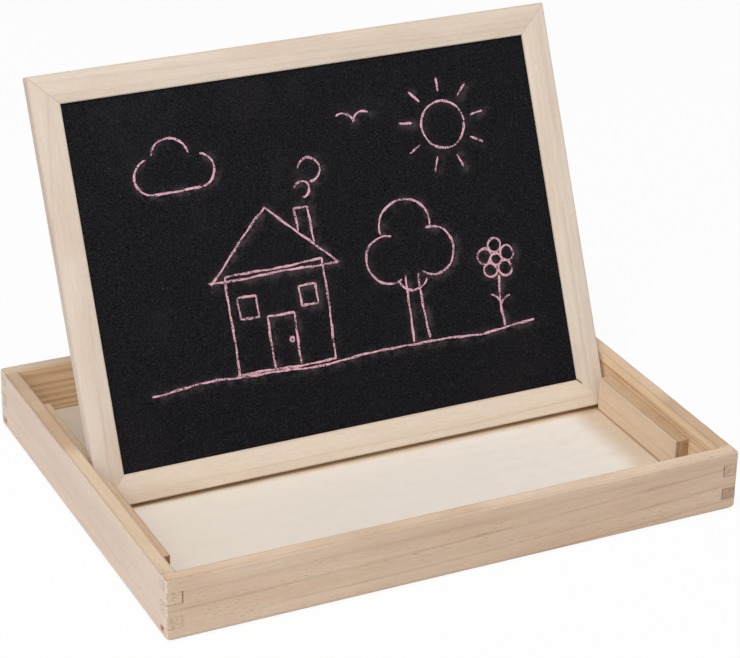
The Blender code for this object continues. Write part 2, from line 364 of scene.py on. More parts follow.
@dataclass(frozen=True)
class FingerJoints:
    """Where a wall's joint lines and its groove lie, in millimetres.

    Bands are the fingers' heights, counted up from the foot, and the shoulder is where the
    wood between the fingers ends. Grime gathers in the lines, most of all in the third. It
    is fainter at the side walls' front ends and low at the other walls' left ends.
    """

    band: float
    shoulder: float
    odd_fingers: bool
    groove: tuple[float, float]
    groove_end: float
    lowest: float = 3.0
    highest: float = 30.0
    grimy_joint: float = 3.0
    half_line: float = 0.45

    def grime(self, at: GrainPoint) -> Term:
        """Return how much grime lies at a point.

        On a line between two bands it falls off with the distance from the nearest whole
        number of bands, past the shoulder only. On a shoulder it falls off with the
        distance from it, and only every other band has one.

        Args:
            at: The point.

        Returns:
            The grime from 0 to 1.
        """
        height, length = at.u / self.band, abs(at.s)
        is_even = (height * 0.5).math("FRACT").math("LESS_THAN", 0.5)
        has_shoulder = is_even if self.odd_fingers else 1.0 - is_even
        inside = at.u.rise(self.lowest, self.lowest + 1)
        inside = inside * at.u.fall(self.highest, self.highest + 1)
        from_line = abs((height + 0.5).math("FRACT") - 0.5) * self.band
        past_shoulder = length.rise(self.shoulder - 0.3, self.shoulder + 0.1)
        on_line = from_line.fall(0.05, self.half_line) * past_shoulder * inside
        on_shoulder = abs(length - self.shoulder).fall(self.half_line, 1.0) * has_shoulder * inside
        worn = at.noise(WORN).rise(0.42, 0.62)
        grimy = abs(height - self.grimy_joint).fall(0.15, 0.30)
        faded = at.s.fall(-1.0, 1.0)
        if not self.odd_fingers:
            faded = faded * height.fall(2.3, 2.6)
        on_line = on_line * (grimy * (worn * 0.5 + 0.4) + worn * 0.25) * (1.0 - faded * 0.5)
        on_shoulder = on_shoulder * (worn * 0.15 + 0.85) * (1.0 - faded * 0.85)
        return on_line.math("MAXIMUM", on_shoulder)

    def in_groove(self, at: GrainPoint) -> Term:
        """Return 1 inside the open end of the base panel's groove and 0 elsewhere."""
        low, high = self.groove
        level = at.u.rise(low - 0.1, low) * at.u.fall(high, high + 0.1)
        return level * abs(at.v).fall(self.groove_end, self.groove_end + 0.1)


@dataclass(frozen=True)
class OpenMitre:
    """A mitre that has opened a little up to an end, in millimetres across the frame.

    Its plane lies where the distance across, less the place along on its side, is start.
    """

    side: int
    start: float
    end: float

    def gap(self, at: GrainPoint) -> Term:
        """Return 1 in the opened line and 0 elsewhere."""
        across = abs(at.u)
        from_plane = across - at.s * self.side - self.start
        return from_plane.fall(0.3, 1.0) * across.fall(self.end - 1.0, self.end)


@dataclass(frozen=True)
class PlanedWood:
    """Bare planed wood: years' rings seen on each face, fibres, flecks and end grain."""

    name: str
    tone: Tone
    cut: Cut
    lie: Lie
    joints: FingerJoints | None = None
    mitre: OpenMitre | None = None
    # painted shade on the arrises, dimming the light that they catch
    arris_painted_shade: float = 0.09
    fibre_shade: float = 0.26
    dark_grain_and_shade_tint: Colour = (0.62, 0.50, 0.40)
    blush_tint: Colour = (0.96, 0.91, 0.885)
    fleck_tint: Colour = (0.72, 0.56, 0.47)
    grime_tint: Colour = (0.34, 0.25, 0.20)
    fresh_tint: Colour = (0.86, 0.56, 0.37)
    streak_gap: float = 5.3
    streak_fade: float = 18.0

    def make(self) -> bpy.types.Material:
        """Build the material, from its long grain, its end grain and what its joints show.

        Returns:
            The material.
        """
        recipe = Recipe(self.name)
        at = GrainPoint(recipe, self.lie)
        late, fibre = self.year(at), at.noise(FIBRE)
        fleck = at.noise(FLECK, v=7.0).rise(0.62, 0.76)
        shade = 1.0 + (fibre - 0.5) * self.fibre_shade
        # painted shade: the arrises are darkened by their share, so that they catch less light
        shade = shade - recipe.attribute("arris") * self.arris_painted_shade
        for waves, depth in SHADES:
            shade = shade + (at.noise(waves) - 0.5) * depth
        colour = recipe.scaled(self.long_grain(at, late, fleck), shade)
        colour = recipe.mix(colour, self.end_grain(at, late), recipe.attribute("end"))
        if self.joints:
            colour = recipe.tinted(colour, self.grime_tint, self.joints.grime(at) * 0.95)
            colour = recipe.mix(colour, self.fresh_tint, self.joints.in_groove(at))
        if self.mitre:
            colour = recipe.tinted(colour, self.grime_tint, self.mitre.gap(at))
        relief = fibre * 0.5 + late * 0.35 - fleck * 0.4
        roughness = 0.62 + (fibre - 0.5) * 0.12 - late * 0.05 + recipe.attribute("end") * 0.12
        normal = recipe.bump(relief, 0.030)
        return recipe.surface(colour, roughness, normal, Specular_IOR_Level=0.25)

    def year(self, at: GrainPoint) -> Term:
        """Return how dark the year's wood is.

        The distance from the leaning pith, with slow noise added, is divided by the ring's
        width. The fraction of that number is the time of year: wood darkens slowly through
        it and turns pale at once at its end.

        Args:
            at: The point.

        Returns:
            The late wood's share from 0 to 1.
        """
        recipe, cut = at.recipe, self.cut
        slow = at.noise(SLOW_DRIFT, s=cut.seed) - 0.5
        quick = at.noise(QUICK_DRIFT, u=cut.seed) - 0.5
        beside = at.u - cut.pith[0] - at.s * cut.lean[0]
        beneath = at.v - cut.pith[1] - at.s * cut.lean[1]
        radius = (beside * beside + beneath * beneath).math("SQRT")
        steady = (radius + (slow + quick * 0.35) * cut.wander) / cut.ring
        uneven = recipe.waves(steady * 0.45, cut.seed, 0.0, 1.0) - 0.5
        years = steady + uneven * 1.1
        season = years.math("FRACT")
        vigour = recipe.waves(years.math("FLOOR") * 0.83, cut.seed + 3.0, at.s * 0.004, 0.0)
        late = season.rise(0.30, 0.90) * season.fall(0.93, 1.0)
        return late * (vigour.rise(0.25, 0.75) * 0.8 + 0.2)

    def streaks(self, at: GrainPoint) -> Term:
        """Return the sum of the dark lines, grain and painted shade, each a soft ridge across it.

        Args:
            at: The point.

        Returns:
            The lines' darkness.
        """
        recipe, s, fade = at.recipe, at.s, self.streak_fade
        total = recipe.constant(0.0)
        for number, streak in enumerate(self.cut.streaks):
            shift = self.cut.seed + number * self.streak_gap
            sway = recipe.waves(s * 0.011 + shift, shift, 0.0) - 0.5
            bent = s * s * streak.bend
            line = s * streak.slope + bent + sway * streak.wobble + streak.across
            ridge = (abs(at.u - line) / streak.width).fall(0.0, 1.0)
            patchy = recipe.waves(s * 0.025 + shift, at.u * 0.4, 1.0).rise(0.25, 0.7)
            reach = s.rise(streak.start, streak.start + fade)
            reach = reach * s.fall(streak.end - fade, streak.end)
            total = total + ridge * reach * (patchy * 0.6 + 0.4) * streak.depth
        return total

    def long_grain(self, at: GrainPoint, late: Term, fleck: Term) -> Term:
        """Return the colour of the long faces, before the fibres shade it.

        Args:
            at: The point.
            late: The late wood's share.
            fleck: The flecks' share.

        Returns:
            The colour.
        """
        recipe, tone = at.recipe, self.tone
        strewn = at.noise(STREWN, v=9.0).rise(0.35, 0.65)
        marks = late * self.cut.contrast + self.streaks(at)
        # painted light and shade: the outside and the upper face take their own colours, the
        # wood's tone made lighter or darker for the light each gets
        outside = srgb(*(tone.outside or tone.face))
        colour = recipe.mix(srgb(*tone.face), outside, recipe.attribute("outer"))
        colour = recipe.mix(colour, srgb(*tone.top), recipe.attribute("top"))
        blush = at.noise(CLOUD, v=self.cut.seed).rise(0.40, 0.72)
        colour = recipe.tinted(colour, self.blush_tint, blush)
        colour = recipe.tinted(colour, self.dark_grain_and_shade_tint, marks)
        return recipe.tinted(colour, self.fleck_tint, fleck * strewn * self.cut.flecks)

    def end_grain(self, at: GrainPoint, late: Term) -> Term:
        """Return the colour of the cut ends: low and high tones, smudges and pores.

        Args:
            at: The point.
            late: The late wood's share.

        Returns:
            The colour.
        """
        recipe, tone = at.recipe, self.tone
        pores = recipe.waves(at.u * 0.8, at.v * 0.8, at.s * 0.5, 3.0, 0.8)
        smudge = recipe.waves(at.u * 0.35, at.v * 0.35, at.s * 0.02 + 4.0).rise(0.45, 0.7)
        low = srgb(*(tone.end_low or tone.end))
        colour = recipe.mix(low, srgb(*tone.end), at.u.rise(12.0, 20.0))
        colour = recipe.tinted(colour, self.dark_grain_and_shade_tint, late * 0.30 + smudge * 0.22)
        return recipe.scaled(colour, 0.82 + pores.rise(0.34, 0.66) * 0.36)


@dataclass(frozen=True)
class BirchPly:
    """Thin pale plywood with faint figure, and painted light and shade.

    It is painted lighter towards the right, and painted shade lies along one rail, under the
    board's foot and behind the board. The painted shade's zones are in millimetres: the
    rail's across the tray, the foot's from front to back, and the board's reach to either side.
    """

    name: str = "birch_ply"
    shade_behind_board_tint: Colour = (1.0, 0.97, 0.92)
    rail_shade_zone: tuple[float, float] = (121.0, 139.0)
    rail_shade_tint: Colour = (0.75, 0.655, 0.54)
    foot_shadow_zone: tuple[float, float] = (-8.0, 1.5)
    foot_shadow_tint: Colour = (0.86, 0.70, 0.49)
    board_reach: float = 148.0

    def make(self) -> bpy.types.Material:
        """Build the material: wide soft figure from stretched noise, plus fine flecks.

        Returns:
            The material.
        """
        recipe = Recipe(self.name)
        place = recipe.object_point()
        x, y = recipe.along(place, (1, 0, 0)), recipe.along(place, (0, 1, 0))
        sway = recipe.waves(x * 0.02, y * 0.02, 2.0) - 0.5
        figure = recipe.waves(x * 0.012, y * 0.16 + sway * 2.0, 0.0, 3.0)
        fibre = recipe.waves(x * 0.08, y * 2.2, 0.0, 3.0, 0.65)
        fleck = recipe.waves(x * 0.5, y * 3.0, 5.0, 1.0).rise(0.67, 0.78)
        mottle = recipe.waves(x * 0.09, y * 0.14, 8.0, 3.0)
        # painted light: the ply is lighter towards the right
        colour = recipe.mix(srgb(222, 212, 200), srgb(228, 220, 211), x.rise(-140.0, 120.0))
        colour = recipe.mix(colour, srgb(218, 205, 190), figure.rise(0.35, 0.75) * 0.22)
        colour = recipe.mix(colour, srgb(215, 201, 189), mottle.rise(0.40, 0.80) * 0.30)
        colour = recipe.mix(colour, srgb(184, 159, 134), fleck * 0.20)
        colour = recipe.scaled(colour, 1.0 + (fibre - 0.5) * 0.06)
        # painted shade: a warmer, slightly darker tint on the ply behind the board
        colour = recipe.tinted(colour, self.shade_behind_board_tint, y.rise(10.0, 40.0))
        # painted shade: a warm soft shadow of the right rail on the ply
        painted_rail_shade = (x + (mottle - 0.5) * 3.0).rise(*self.rail_shade_zone)
        painted_rail_shade = painted_rail_shade * (y.rise(-90.0, -40.0) * 0.2 + 0.8)
        colour = recipe.tinted(colour, self.rail_shade_tint, painted_rail_shade)
        # painted shadow under the board's foot
        colour = recipe.tinted(colour, self.foot_shadow_tint, self.painted_foot_shadow(recipe, x, y))
        normal = recipe.bump(fibre * 0.6 - fleck * 0.4, 0.02)
        return recipe.surface(colour, 0.62 + (fibre - 0.5) * 0.15, normal, Specular_IOR_Level=0.3)

    def painted_foot_shadow(self, recipe: Recipe, x: Term, y: Term) -> Term:
        """Return the painted shadow under the board's foot: an uneven strip, wider towards the
        right.

        Args:
            recipe: The finish being made.
            x: Millimetres to the right of the tray's middle.
            y: Millimetres behind it.

        Returns:
            The painted shadow's share from 0 to 1.
        """
        front, back = self.foot_shadow_zone
        edge = y + (recipe.waves(x * 0.11, 3.0, 11.0, 3.0) - 0.5) * 3.0
        edge = edge + x.rise(-110.0, 40.0) * 1.2
        within = abs(x).fall(self.board_reach, self.board_reach + 3.0)
        foot = edge.rise(front, front + 4.0) * edge.fall(back - 2.5, back) * within
        # the painted shadow's strength varies unevenly along the foot
        wear_and_shade_patches = recipe.waves(x * 0.05, y * 0.4, 11.0, 4.0, 0.65).rise(0.25, 0.6)
        return foot * (wear_and_shade_patches * 0.50 + 0.48)


@dataclass(frozen=True)
class ChalkBlack:
    """Matt black chalkboard coating with fine grit, and dust beside the chalk lines."""

    name: str = "chalk_black"

    def make(self) -> bpy.types.Material:
        """Build the material: near black, pale specks, and slow clouds of dust.

        Returns:
            The material.
        """
        recipe = Recipe(self.name)
        place = recipe.object_point()
        grit = recipe.noise(place, scale=1.15, detail=3.0, roughness=0.75)
        specks = 1.0 - recipe.specks(place, 0.75).rise(0.08, 0.26)
        wear_and_shade_patches = recipe.noise(place, scale=0.022, detail=4.0, roughness=0.62)
        strewn = recipe.noise(place, scale=0.35, detail=1.0).rise(0.50, 0.60)
        colour = recipe.mix(srgb(5, 5, 6), srgb(38, 37, 40), grit.rise(0.28, 0.74))
        colour = recipe.mix(colour, srgb(78, 75, 78), specks * strewn * 0.6)
        colour = recipe.mix(colour, srgb(52, 48, 50), wear_and_shade_patches.rise(0.50, 0.80) * 0.20)
        smeared = recipe.noise(place, scale=0.16, detail=3.0, roughness=0.6).rise(0.38, 0.62)
        dust = recipe.attribute("dust") * smeared * (grit * 0.8 + 0.3)
        colour = recipe.mix(colour, srgb(118, 104, 108), dust * 0.34)
        normal = recipe.bump(grit, 0.03)
        return recipe.surface(colour, 0.85, normal, Specular_IOR_Level=0.03)


@dataclass(frozen=True)
class ChalkLine:
    """Soft chalk that catches only the high grains of the coating."""

    name: str = "pink_chalk"

    def make(self) -> bpy.types.Material:
        """Build the material: pink where the chalk took, and black in the gaps.

        Returns:
            The material.
        """
        recipe = Recipe(self.name)
        place = recipe.object_point()
        grain = recipe.noise(place, scale=1.15, detail=3.0, roughness=0.75)
        press = recipe.noise(place, scale=0.12, detail=2.0)
        taken = (grain + (press - 0.5) * 0.4).rise(0.36, 0.54)
        colour = recipe.mix(srgb(58, 50, 54), srgb(220, 170, 182), taken)
        return recipe.surface(colour, 0.95, recipe.bump(grain, 0.03), Specular_IOR_Level=0.05)


@dataclass(frozen=True)
class DryWipeWhite:
    """Glossy white dry-wipe coating with a trace of rubbed-off marks."""

    name: str = "gloss_white"

    def make(self) -> bpy.types.Material:
        """Build the material: cool white, with wiping streaks in its gloss.

        Returns:
            The material.
        """
        recipe = Recipe(self.name)
        place = recipe.object_point()
        across, slanted = recipe.along(place, (0.02, 0, 0)), recipe.along(place, (0, 0.09, 0.21))
        wiped = recipe.waves(across, slanted, 0.0, 3.0)
        ghost = recipe.noise(place, scale=0.02, detail=3.0).rise(0.5, 0.8)
        colour = recipe.mix(srgb(238, 239, 239), srgb(226, 228, 230), ghost * 0.5)
        return recipe.surface(colour, 0.14 + wiped * 0.14, Specular_IOR_Level=0.5)


@dataclass(frozen=True)
class Hardboard:
    """Brown pressed fibres, seen only on the panel's edges."""

    name: str = "hardboard"

    def make(self) -> bpy.types.Material:
        """Build the material: matted noise in two browns.

        Returns:
            The material.
        """
        recipe = Recipe(self.name)
        mat = recipe.noise(recipe.object_point(), scale=1.4, detail=4.0, roughness=0.7)
        colour = recipe.mix(srgb(112, 78, 54), srgb(158, 118, 84), mat.rise(0.3, 0.7))
        return recipe.surface(colour, 0.9, recipe.bump(mat, 0.08), Specular_IOR_Level=0.2)


@dataclass(frozen=True)
class NailSteel:
    """Bright rolled steel strip, brushed along its length and dulled in patches."""

    name: str = "nail_steel"

    def make(self) -> bpy.types.Material:
        """Build the material: metal whose roughness follows fine lines.

        Returns:
            The material.
        """
        recipe = Recipe(self.name)
        place = recipe.object_point()
        across, along = recipe.along(place, (0, 2.4, 5.4)), recipe.along(place, (0.6, 0, 0))
        lines = recipe.waves(across, along, 0.0)
        dull = recipe.noise(place, scale=0.7, detail=2.0).rise(0.4, 0.7)
        colour = recipe.mix(srgb(186, 188, 190), srgb(140, 138, 134), dull)
        return recipe.surface(colour, 0.26 + lines * 0.2, Metallic=1.0)


# Surfaces


@dataclass
class Skin:
    """A closed surface over a grid: rows of matching rings, flat at both ends.

    The arris is a number for each point, which the mesh carries.
    """

    rings: np.ndarray
    arris: np.ndarray = field(default_factory=lambda: np.zeros(0))

    def faces(self) -> list[list[int]]:
        """Return the quads between rings and the two end faces.

        Point c of row r has the number r * columns + c, and a quad joins it to the next
        point of its ring and to the same two points of the next ring.

        Returns:
            Each face's point numbers.
        """
        rows, columns = self.rings.shape[:2]
        start = np.arange(rows * columns).reshape(rows, columns)
        after = np.roll(start, -1, axis=1)
        quads = np.stack([start[:-1], after[:-1], after[1:], start[1:]], axis=-1).reshape(-1, 4)
        return quads.tolist() + [start[0][::-1].tolist(), start[-1].tolist()]

    def is_inside_out(self) -> bool:
        """Say whether the volume under the faces, summed with its sign, is below zero.

        A triangle a, b, c adds the product of a with the cross product of b and c, which
        is six times the volume between it and the middle.

        Returns:
            True if the faces point inwards.
        """
        centred = self.rings - self.rings.reshape(-1, 3).mean(0)
        a, b = centred[:-1], np.roll(centred, -1, axis=1)[:-1]
        c, d = np.roll(centred, -1, axis=1)[1:], centred[1:]
        volume = sum(np.sum(a * np.cross(*pair)) for pair in ((b, c), (c, d)))
        for ring, side in ((centred[0], -1), (centred[-1], 1)):
            fan = np.cross(ring, np.roll(ring, -1, axis=0)) @ ring.mean(0)
            volume += side * fan.sum()
        return volume < 0


def add_mesh(name: str, skins: Sequence[Skin], material: bpy.types.Material, along: Triple,
             outward: Triple = (0.0, 0.0, 0.0), carries: str = "arris") -> bpy.types.Object:
    """Turn surfaces into one named object in its place.

    Args:
        name: The piece's name.
        skins: The closed surfaces that it is made of.
        material: Its finish.
        along: The direction of its fibres, for the end grain.
        outward: The direction in which its outside looks, if it has one.
        carries: The attribute that the surfaces' own numbers go into.

    Returns:
        The object, at the origin, with that attribute and end, top and outer.
    """
    points, faces, arris, total = [], [], [], 0
    for skin in skins:
        flip = skin.is_inside_out()
        flat = skin.rings.reshape(-1, 3)
        for face in skin.faces():
            shifted = [corner + total for corner in face]
            faces.append(shifted[::-1] if flip else shifted)
        points.append(flat)
        arris.append(skin.arris.ravel() if skin.arris.size else np.zeros(len(flat)))
        total += len(flat)
    mesh = bpy.data.meshes.new(name)
    mesh.from_pydata(np.concatenate(points).tolist(), [], faces)
    values = mesh.attributes.new(carries, "FLOAT", "POINT")
    values.data.foreach_set("value", np.concatenate(arris).astype(np.float32))
    merge_doubles(mesh)
    normals = np.zeros(len(mesh.polygons) * 3)
    mesh.polygons.foreach_get("normal", normals)
    normals = normals.reshape(-1, 3)
    shares = {
        "end": np.abs(normals @ np.array(along)) > FACING,
        "top": normals[:, 2] > FACING,
        "outer": normals @ np.array(outward) > FACING,
    }
    for label, share in shares.items():
        values = mesh.attributes.new(label, "FLOAT", "FACE")
        values.data.foreach_set("value", share.astype(np.float32))
    mesh.shade_smooth()
    mesh.set_sharp_from_angle(angle=SHARP_EDGE)
    mesh.materials.append(material)
    return put_in_place(name, mesh)


def put_in_place(name: str, data: bpy.types.ID) -> bpy.types.Object:
    """Make an object of a mesh, lamp or camera and put it in the scene."""
    made = bpy.data.objects.new(name, data)
    bpy.context.scene.collection.objects.link(made)
    return made


def merge_doubles(mesh: bpy.types.Mesh) -> None:
    """Join the points that lie on each other and drop the faces that this empties.

    Args:
        mesh: The mesh, which is changed.
    """
    work = bmesh.new()
    work.from_mesh(mesh)
    bmesh.ops.remove_doubles(work, verts=work.verts, dist=MERGE_DISTANCE)
    bmesh.ops.dissolve_degenerate(work, edges=work.edges, dist=MERGE_DISTANCE)
    work.to_mesh(mesh)
    work.free()


def quarter_round(height: np.ndarray, top: float, radius: np.ndarray | float) -> np.ndarray:
    """Return how far a rounded arris lies back at each height below a face.

    Inside the last radius of height, the lie-back is radius less the root of radius
    squared less the climb squared, and it is zero below that.

    Args:
        height: Each point's height.
        top: The face's height.
        radius: The arris's radius, one or one for each point.

    Returns:
        How far each point lies back.
    """
    climb = np.clip(height - (top - radius), 0, radius)
    return radius - np.sqrt(np.maximum(radius ** 2 - climb ** 2, 0))


def arc_heights(radius: float, steps: int) -> np.ndarray:
    """Return heights below a face at which equal angles of an arris's arc lie."""
    angles = np.linspace(0, math.pi / 2, steps + 1)
    return radius * (1 - np.sin(angles))


def eased_section(corners: np.ndarray, radii: Sequence[float], steps: int,
                  hold: float) -> tuple[np.ndarray, np.ndarray]:
    """Round the square corners of a closed section.

    With unit vectors a and b from a corner to its neighbours, the arc's point at angle t
    is corner + a * radius * (1 - sin t) + b * radius * (1 - cos t). A holding point lies
    past each end of the arc, so that the flat faces stay flat in smooth shading.

    Args:
        corners: The section's corners in order, two numbers each.
        radii: Each corner's radius. A corner of radius 0 stays sharp.
        steps: The number of steps along each arc.
        hold: The distance of a holding point from its arc.

    Returns:
        The eased section, and for each of its points 1 on an arc and 0 elsewhere.
    """
    before, after = np.roll(corners, 1, axis=0), np.roll(corners, -1, axis=0)
    angles = np.linspace(0, math.pi / 2, steps + 1)[:, None]
    points, on_arc = [], []
    for corner, last, following, radius in zip(corners, before, after, radii):
        if not radius:
            points.append(corner[None])
            on_arc.append([0.0])
            continue
        a = (last - corner) / np.linalg.norm(last - corner)
        b = (following - corner) / np.linalg.norm(following - corner)
        arc = corner + a * radius * (1 - np.sin(angles)) + b * radius * (1 - np.cos(angles))
        held = radius + hold
        points.append(np.concatenate([[corner + a * held], arc, [corner + b * held]]))
        on_arc.append([0.0] + [1.0] * (steps + 1) + [0.0])
    return np.concatenate(points), np.concatenate(on_arc)


def ripple(along: np.ndarray, seed: float) -> np.ndarray:
    """Return slow uneven waves from -1 to 1 along a length in metres: three sines."""
    sines = ((61, 1.0), (143, 2.3), (337, 4.1))
    return sum(np.sin(along * pace + seed * phase) for pace, phase in sines) / len(sines)


# Tray


@dataclass(frozen=True)
class Joinery:
    """What the four walls share, in metres.

    The rim's arris wears unevenly by a share of its radius, and the rows of points below
    the rim reach down a little past the widest arris.
    """

    height: float = 0.034
    bands: int = 5
    glue_gap: float = 0.00007
    rim_arris: float = 0.0011
    rim_wear: float = 0.22
    rim_room: float = 1.25
    opening_arris: float = 0.0008
    corner_arris: float = 0.0014
    underside_arris: float = 0.0025
    groove_depth: float = 0.004
    groove_low: float = 0.0030
    groove_high: float = 0.0064
    arc_steps: int = 5
    hold: float = 0.0005

    @property
    def band(self) -> float:
        """Return the height of one finger."""
        return self.height / self.bands


class Grip(Enum):
    """Which bands of a wall's ends are fingers: those that count even, or odd."""

    EVEN = 0
    ODD = 1


@dataclass
class Wall:
    """One wall of the tray, finger-jointed at both ends and grooved for the base.

    Reach and shoulder are how far its fingers and the wood between them go from its middle,
    and outer and inner are its two faces' distances from the tray's middle.
    """

    node: str
    along: Triple
    outward: Triple
    grip: Grip
    reach: float
    shoulder: float
    outer: float
    inner: float
    joinery: Joinery
    seed: float
    face_points: int = 72

    def rows(self) -> np.ndarray:
        """Return the wall's levels from its foot up.

        Returns:
            A row for each level: height, extra inset, finger or not, grooved or not.
        """
        j = self.joinery
        arc = arc_heights(j.underside_arris, j.arc_steps)[::-1]
        levels = [(0.0, j.hold, 0), *[(float(z), 0.0, 0) for z in arc]]
        levels += [(j.groove_low, 0.0, 0), (j.groove_low, 0.0, 1)]
        levels += [(j.groove_high, 0.0, 1), (j.groove_high, 0.0, 0)]
        table = [(z, extra, self.is_finger(0), grooved) for z, extra, grooved in levels]
        for band in range(1, j.bands):
            below, above = self.is_finger(band - 1), self.is_finger(band)
            joint = band * j.band + j.glue_gap / 2 * (-1 if below else 1)
            table += [(joint, 0.0, below, 0), (joint, 0.0, above, 0)]
        last = self.is_finger(j.bands - 1)
        top_radius = max(j.rim_arris * j.rim_room, j.opening_arris)
        table += [(j.height - top_radius - j.hold, 0.0, last, 0)]
        rim = arc_heights(top_radius, j.arc_steps + 2)
        table += [(j.height - float(z), 0.0, last, 0) for z in rim]
        table += [(j.height, j.hold, last, 0)]
        return np.array(table, float)

    def is_finger(self, band: int) -> bool:
        """Say whether a band runs out to the tray's outside."""
        return band % 2 == self.grip.value

    def skin(self) -> Skin:
        """Return the wall's surface: its plan outline carried up through the levels.

        At each level the outline is a rectangle in length and depth. Its ends stand at
        the reach on fingers and at the shoulder between them, its outer side lies back
        by the arris's quarter round, its outer corners are arcs, and its inner side
        lies back by the opening's arris or by the groove.

        Returns:
            The surface, whose arris is 1 on the rim's and the underside's arcs.
        """
        j = self.joinery
        table = self.rows()
        z, extra, finger, grooved = (column[:, None] for column in table.T)
        is_finger = finger > 0.5
        share = np.linspace(-1, 1, self.face_points)[None, :]
        wear = 1 + j.rim_wear * ripple(share * self.reach, self.seed)
        low_lie = quarter_round(-z, 0.0, j.underside_arris)
        lie = np.maximum(quarter_round(z, j.height, j.rim_arris * wear), low_lie) + extra
        end_lie = np.maximum(quarter_round(z, j.height, j.rim_arris), low_lie) + extra
        end = np.where(is_finger, self.reach - end_lie, self.shoulder)
        corner = np.where(is_finger, j.corner_arris + end_lie, 0.0)
        flare = quarter_round(z, j.height, j.opening_arris) + np.where(z > j.height / 2, extra, 0)
        back = self.inner + np.maximum(flare, grooved * j.groove_depth)
        behind = self.inner + grooved * j.groove_depth
        opening = self.shoulder + j.glue_gap
        notch = np.minimum(opening + flare, end)
        angle = np.linspace(0, math.pi / 2, j.arc_steps + 1)[None, :]
        arc_along = end - corner + corner * np.sin(angle)
        arc_out = self.outer - end_lie - corner + corner * np.cos(angle)
        ones = np.ones_like(z)
        holding = self.outer - end_lie - corner - j.hold * is_finger
        face = (end - corner) * share, self.outer - lie
        inner_face = -notch * share, back * np.ones_like(share)
        columns_along = [face[0], arc_along[:, 1:], end, end, notch, inner_face[0],
                         -notch, -end, -end, -arc_along[:, :0:-1]]
        columns_out = [face[1], arc_out[:, 1:], holding, behind, behind, inner_face[1],
                       behind, behind, holding, arc_out[:, :0:-1]]
        along = np.concatenate([part * ones for part in columns_along], axis=1)
        out = np.concatenate([part * ones for part in columns_out], axis=1)
        height = z * np.ones_like(along)
        points = (along[..., None] * np.array(self.along) + out[..., None] * np.array(self.outward)
                  + height[..., None] * np.array((0.0, 0.0, 1.0)))
        soft = np.clip(end_lie / j.hold, 0, 1) * (extra < j.hold / 2)
        return Skin(points, soft * np.ones_like(along))


@dataclass
class Rail:
    """One rail along a side wall, a block with eased arrises."""

    node: str
    arris: float = 0.0008
    steps: int = 4
    stations: int = 48
    hold: float = 0.0003

    def skin(self) -> Skin:
        """Return the rail's surface: an eased rectangle carried along the rail.

        Near each end the section shrinks by the quarter round of the distance to it.

        Returns:
            The surface, whose arris is 1 on the arcs.
        """
        low, high = (np.array(corner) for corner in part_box(self.node))
        half, middle = (high - low) / 2, (high + low) / 2
        arc, length = arc_heights(self.arris, self.steps), 2 * half[1]
        margin = self.arris + self.hold
        inner = np.linspace(margin, length - margin, self.stations)
        steps = np.concatenate([[0.0], arc[::-1], inner, length - arc, [length]])
        from_end = np.minimum(steps, length - steps)
        lie = quarter_round(self.arris - from_end, self.arris, self.arris)
        lie[[0, -1]] += self.hold
        signs = np.array([(-1, -1), (1, -1), (1, 1), (-1, 1)], float)
        corners, radii = signs * half[[0, 2]], [self.arris] * 4
        section, on_arc = eased_section(corners, radii, self.steps, self.hold)
        direction = np.repeat(signs, len(section) // 4, axis=0)
        ring = section[None] - direction[None] * lie[:, None, None]
        y = (steps - half[1])[:, None] * np.ones(len(section))
        points = np.stack([ring[..., 0], y, ring[..., 1]], axis=-1) + middle
        return Skin(points, np.maximum(on_arc[None], (lie > 0)[:, None]))


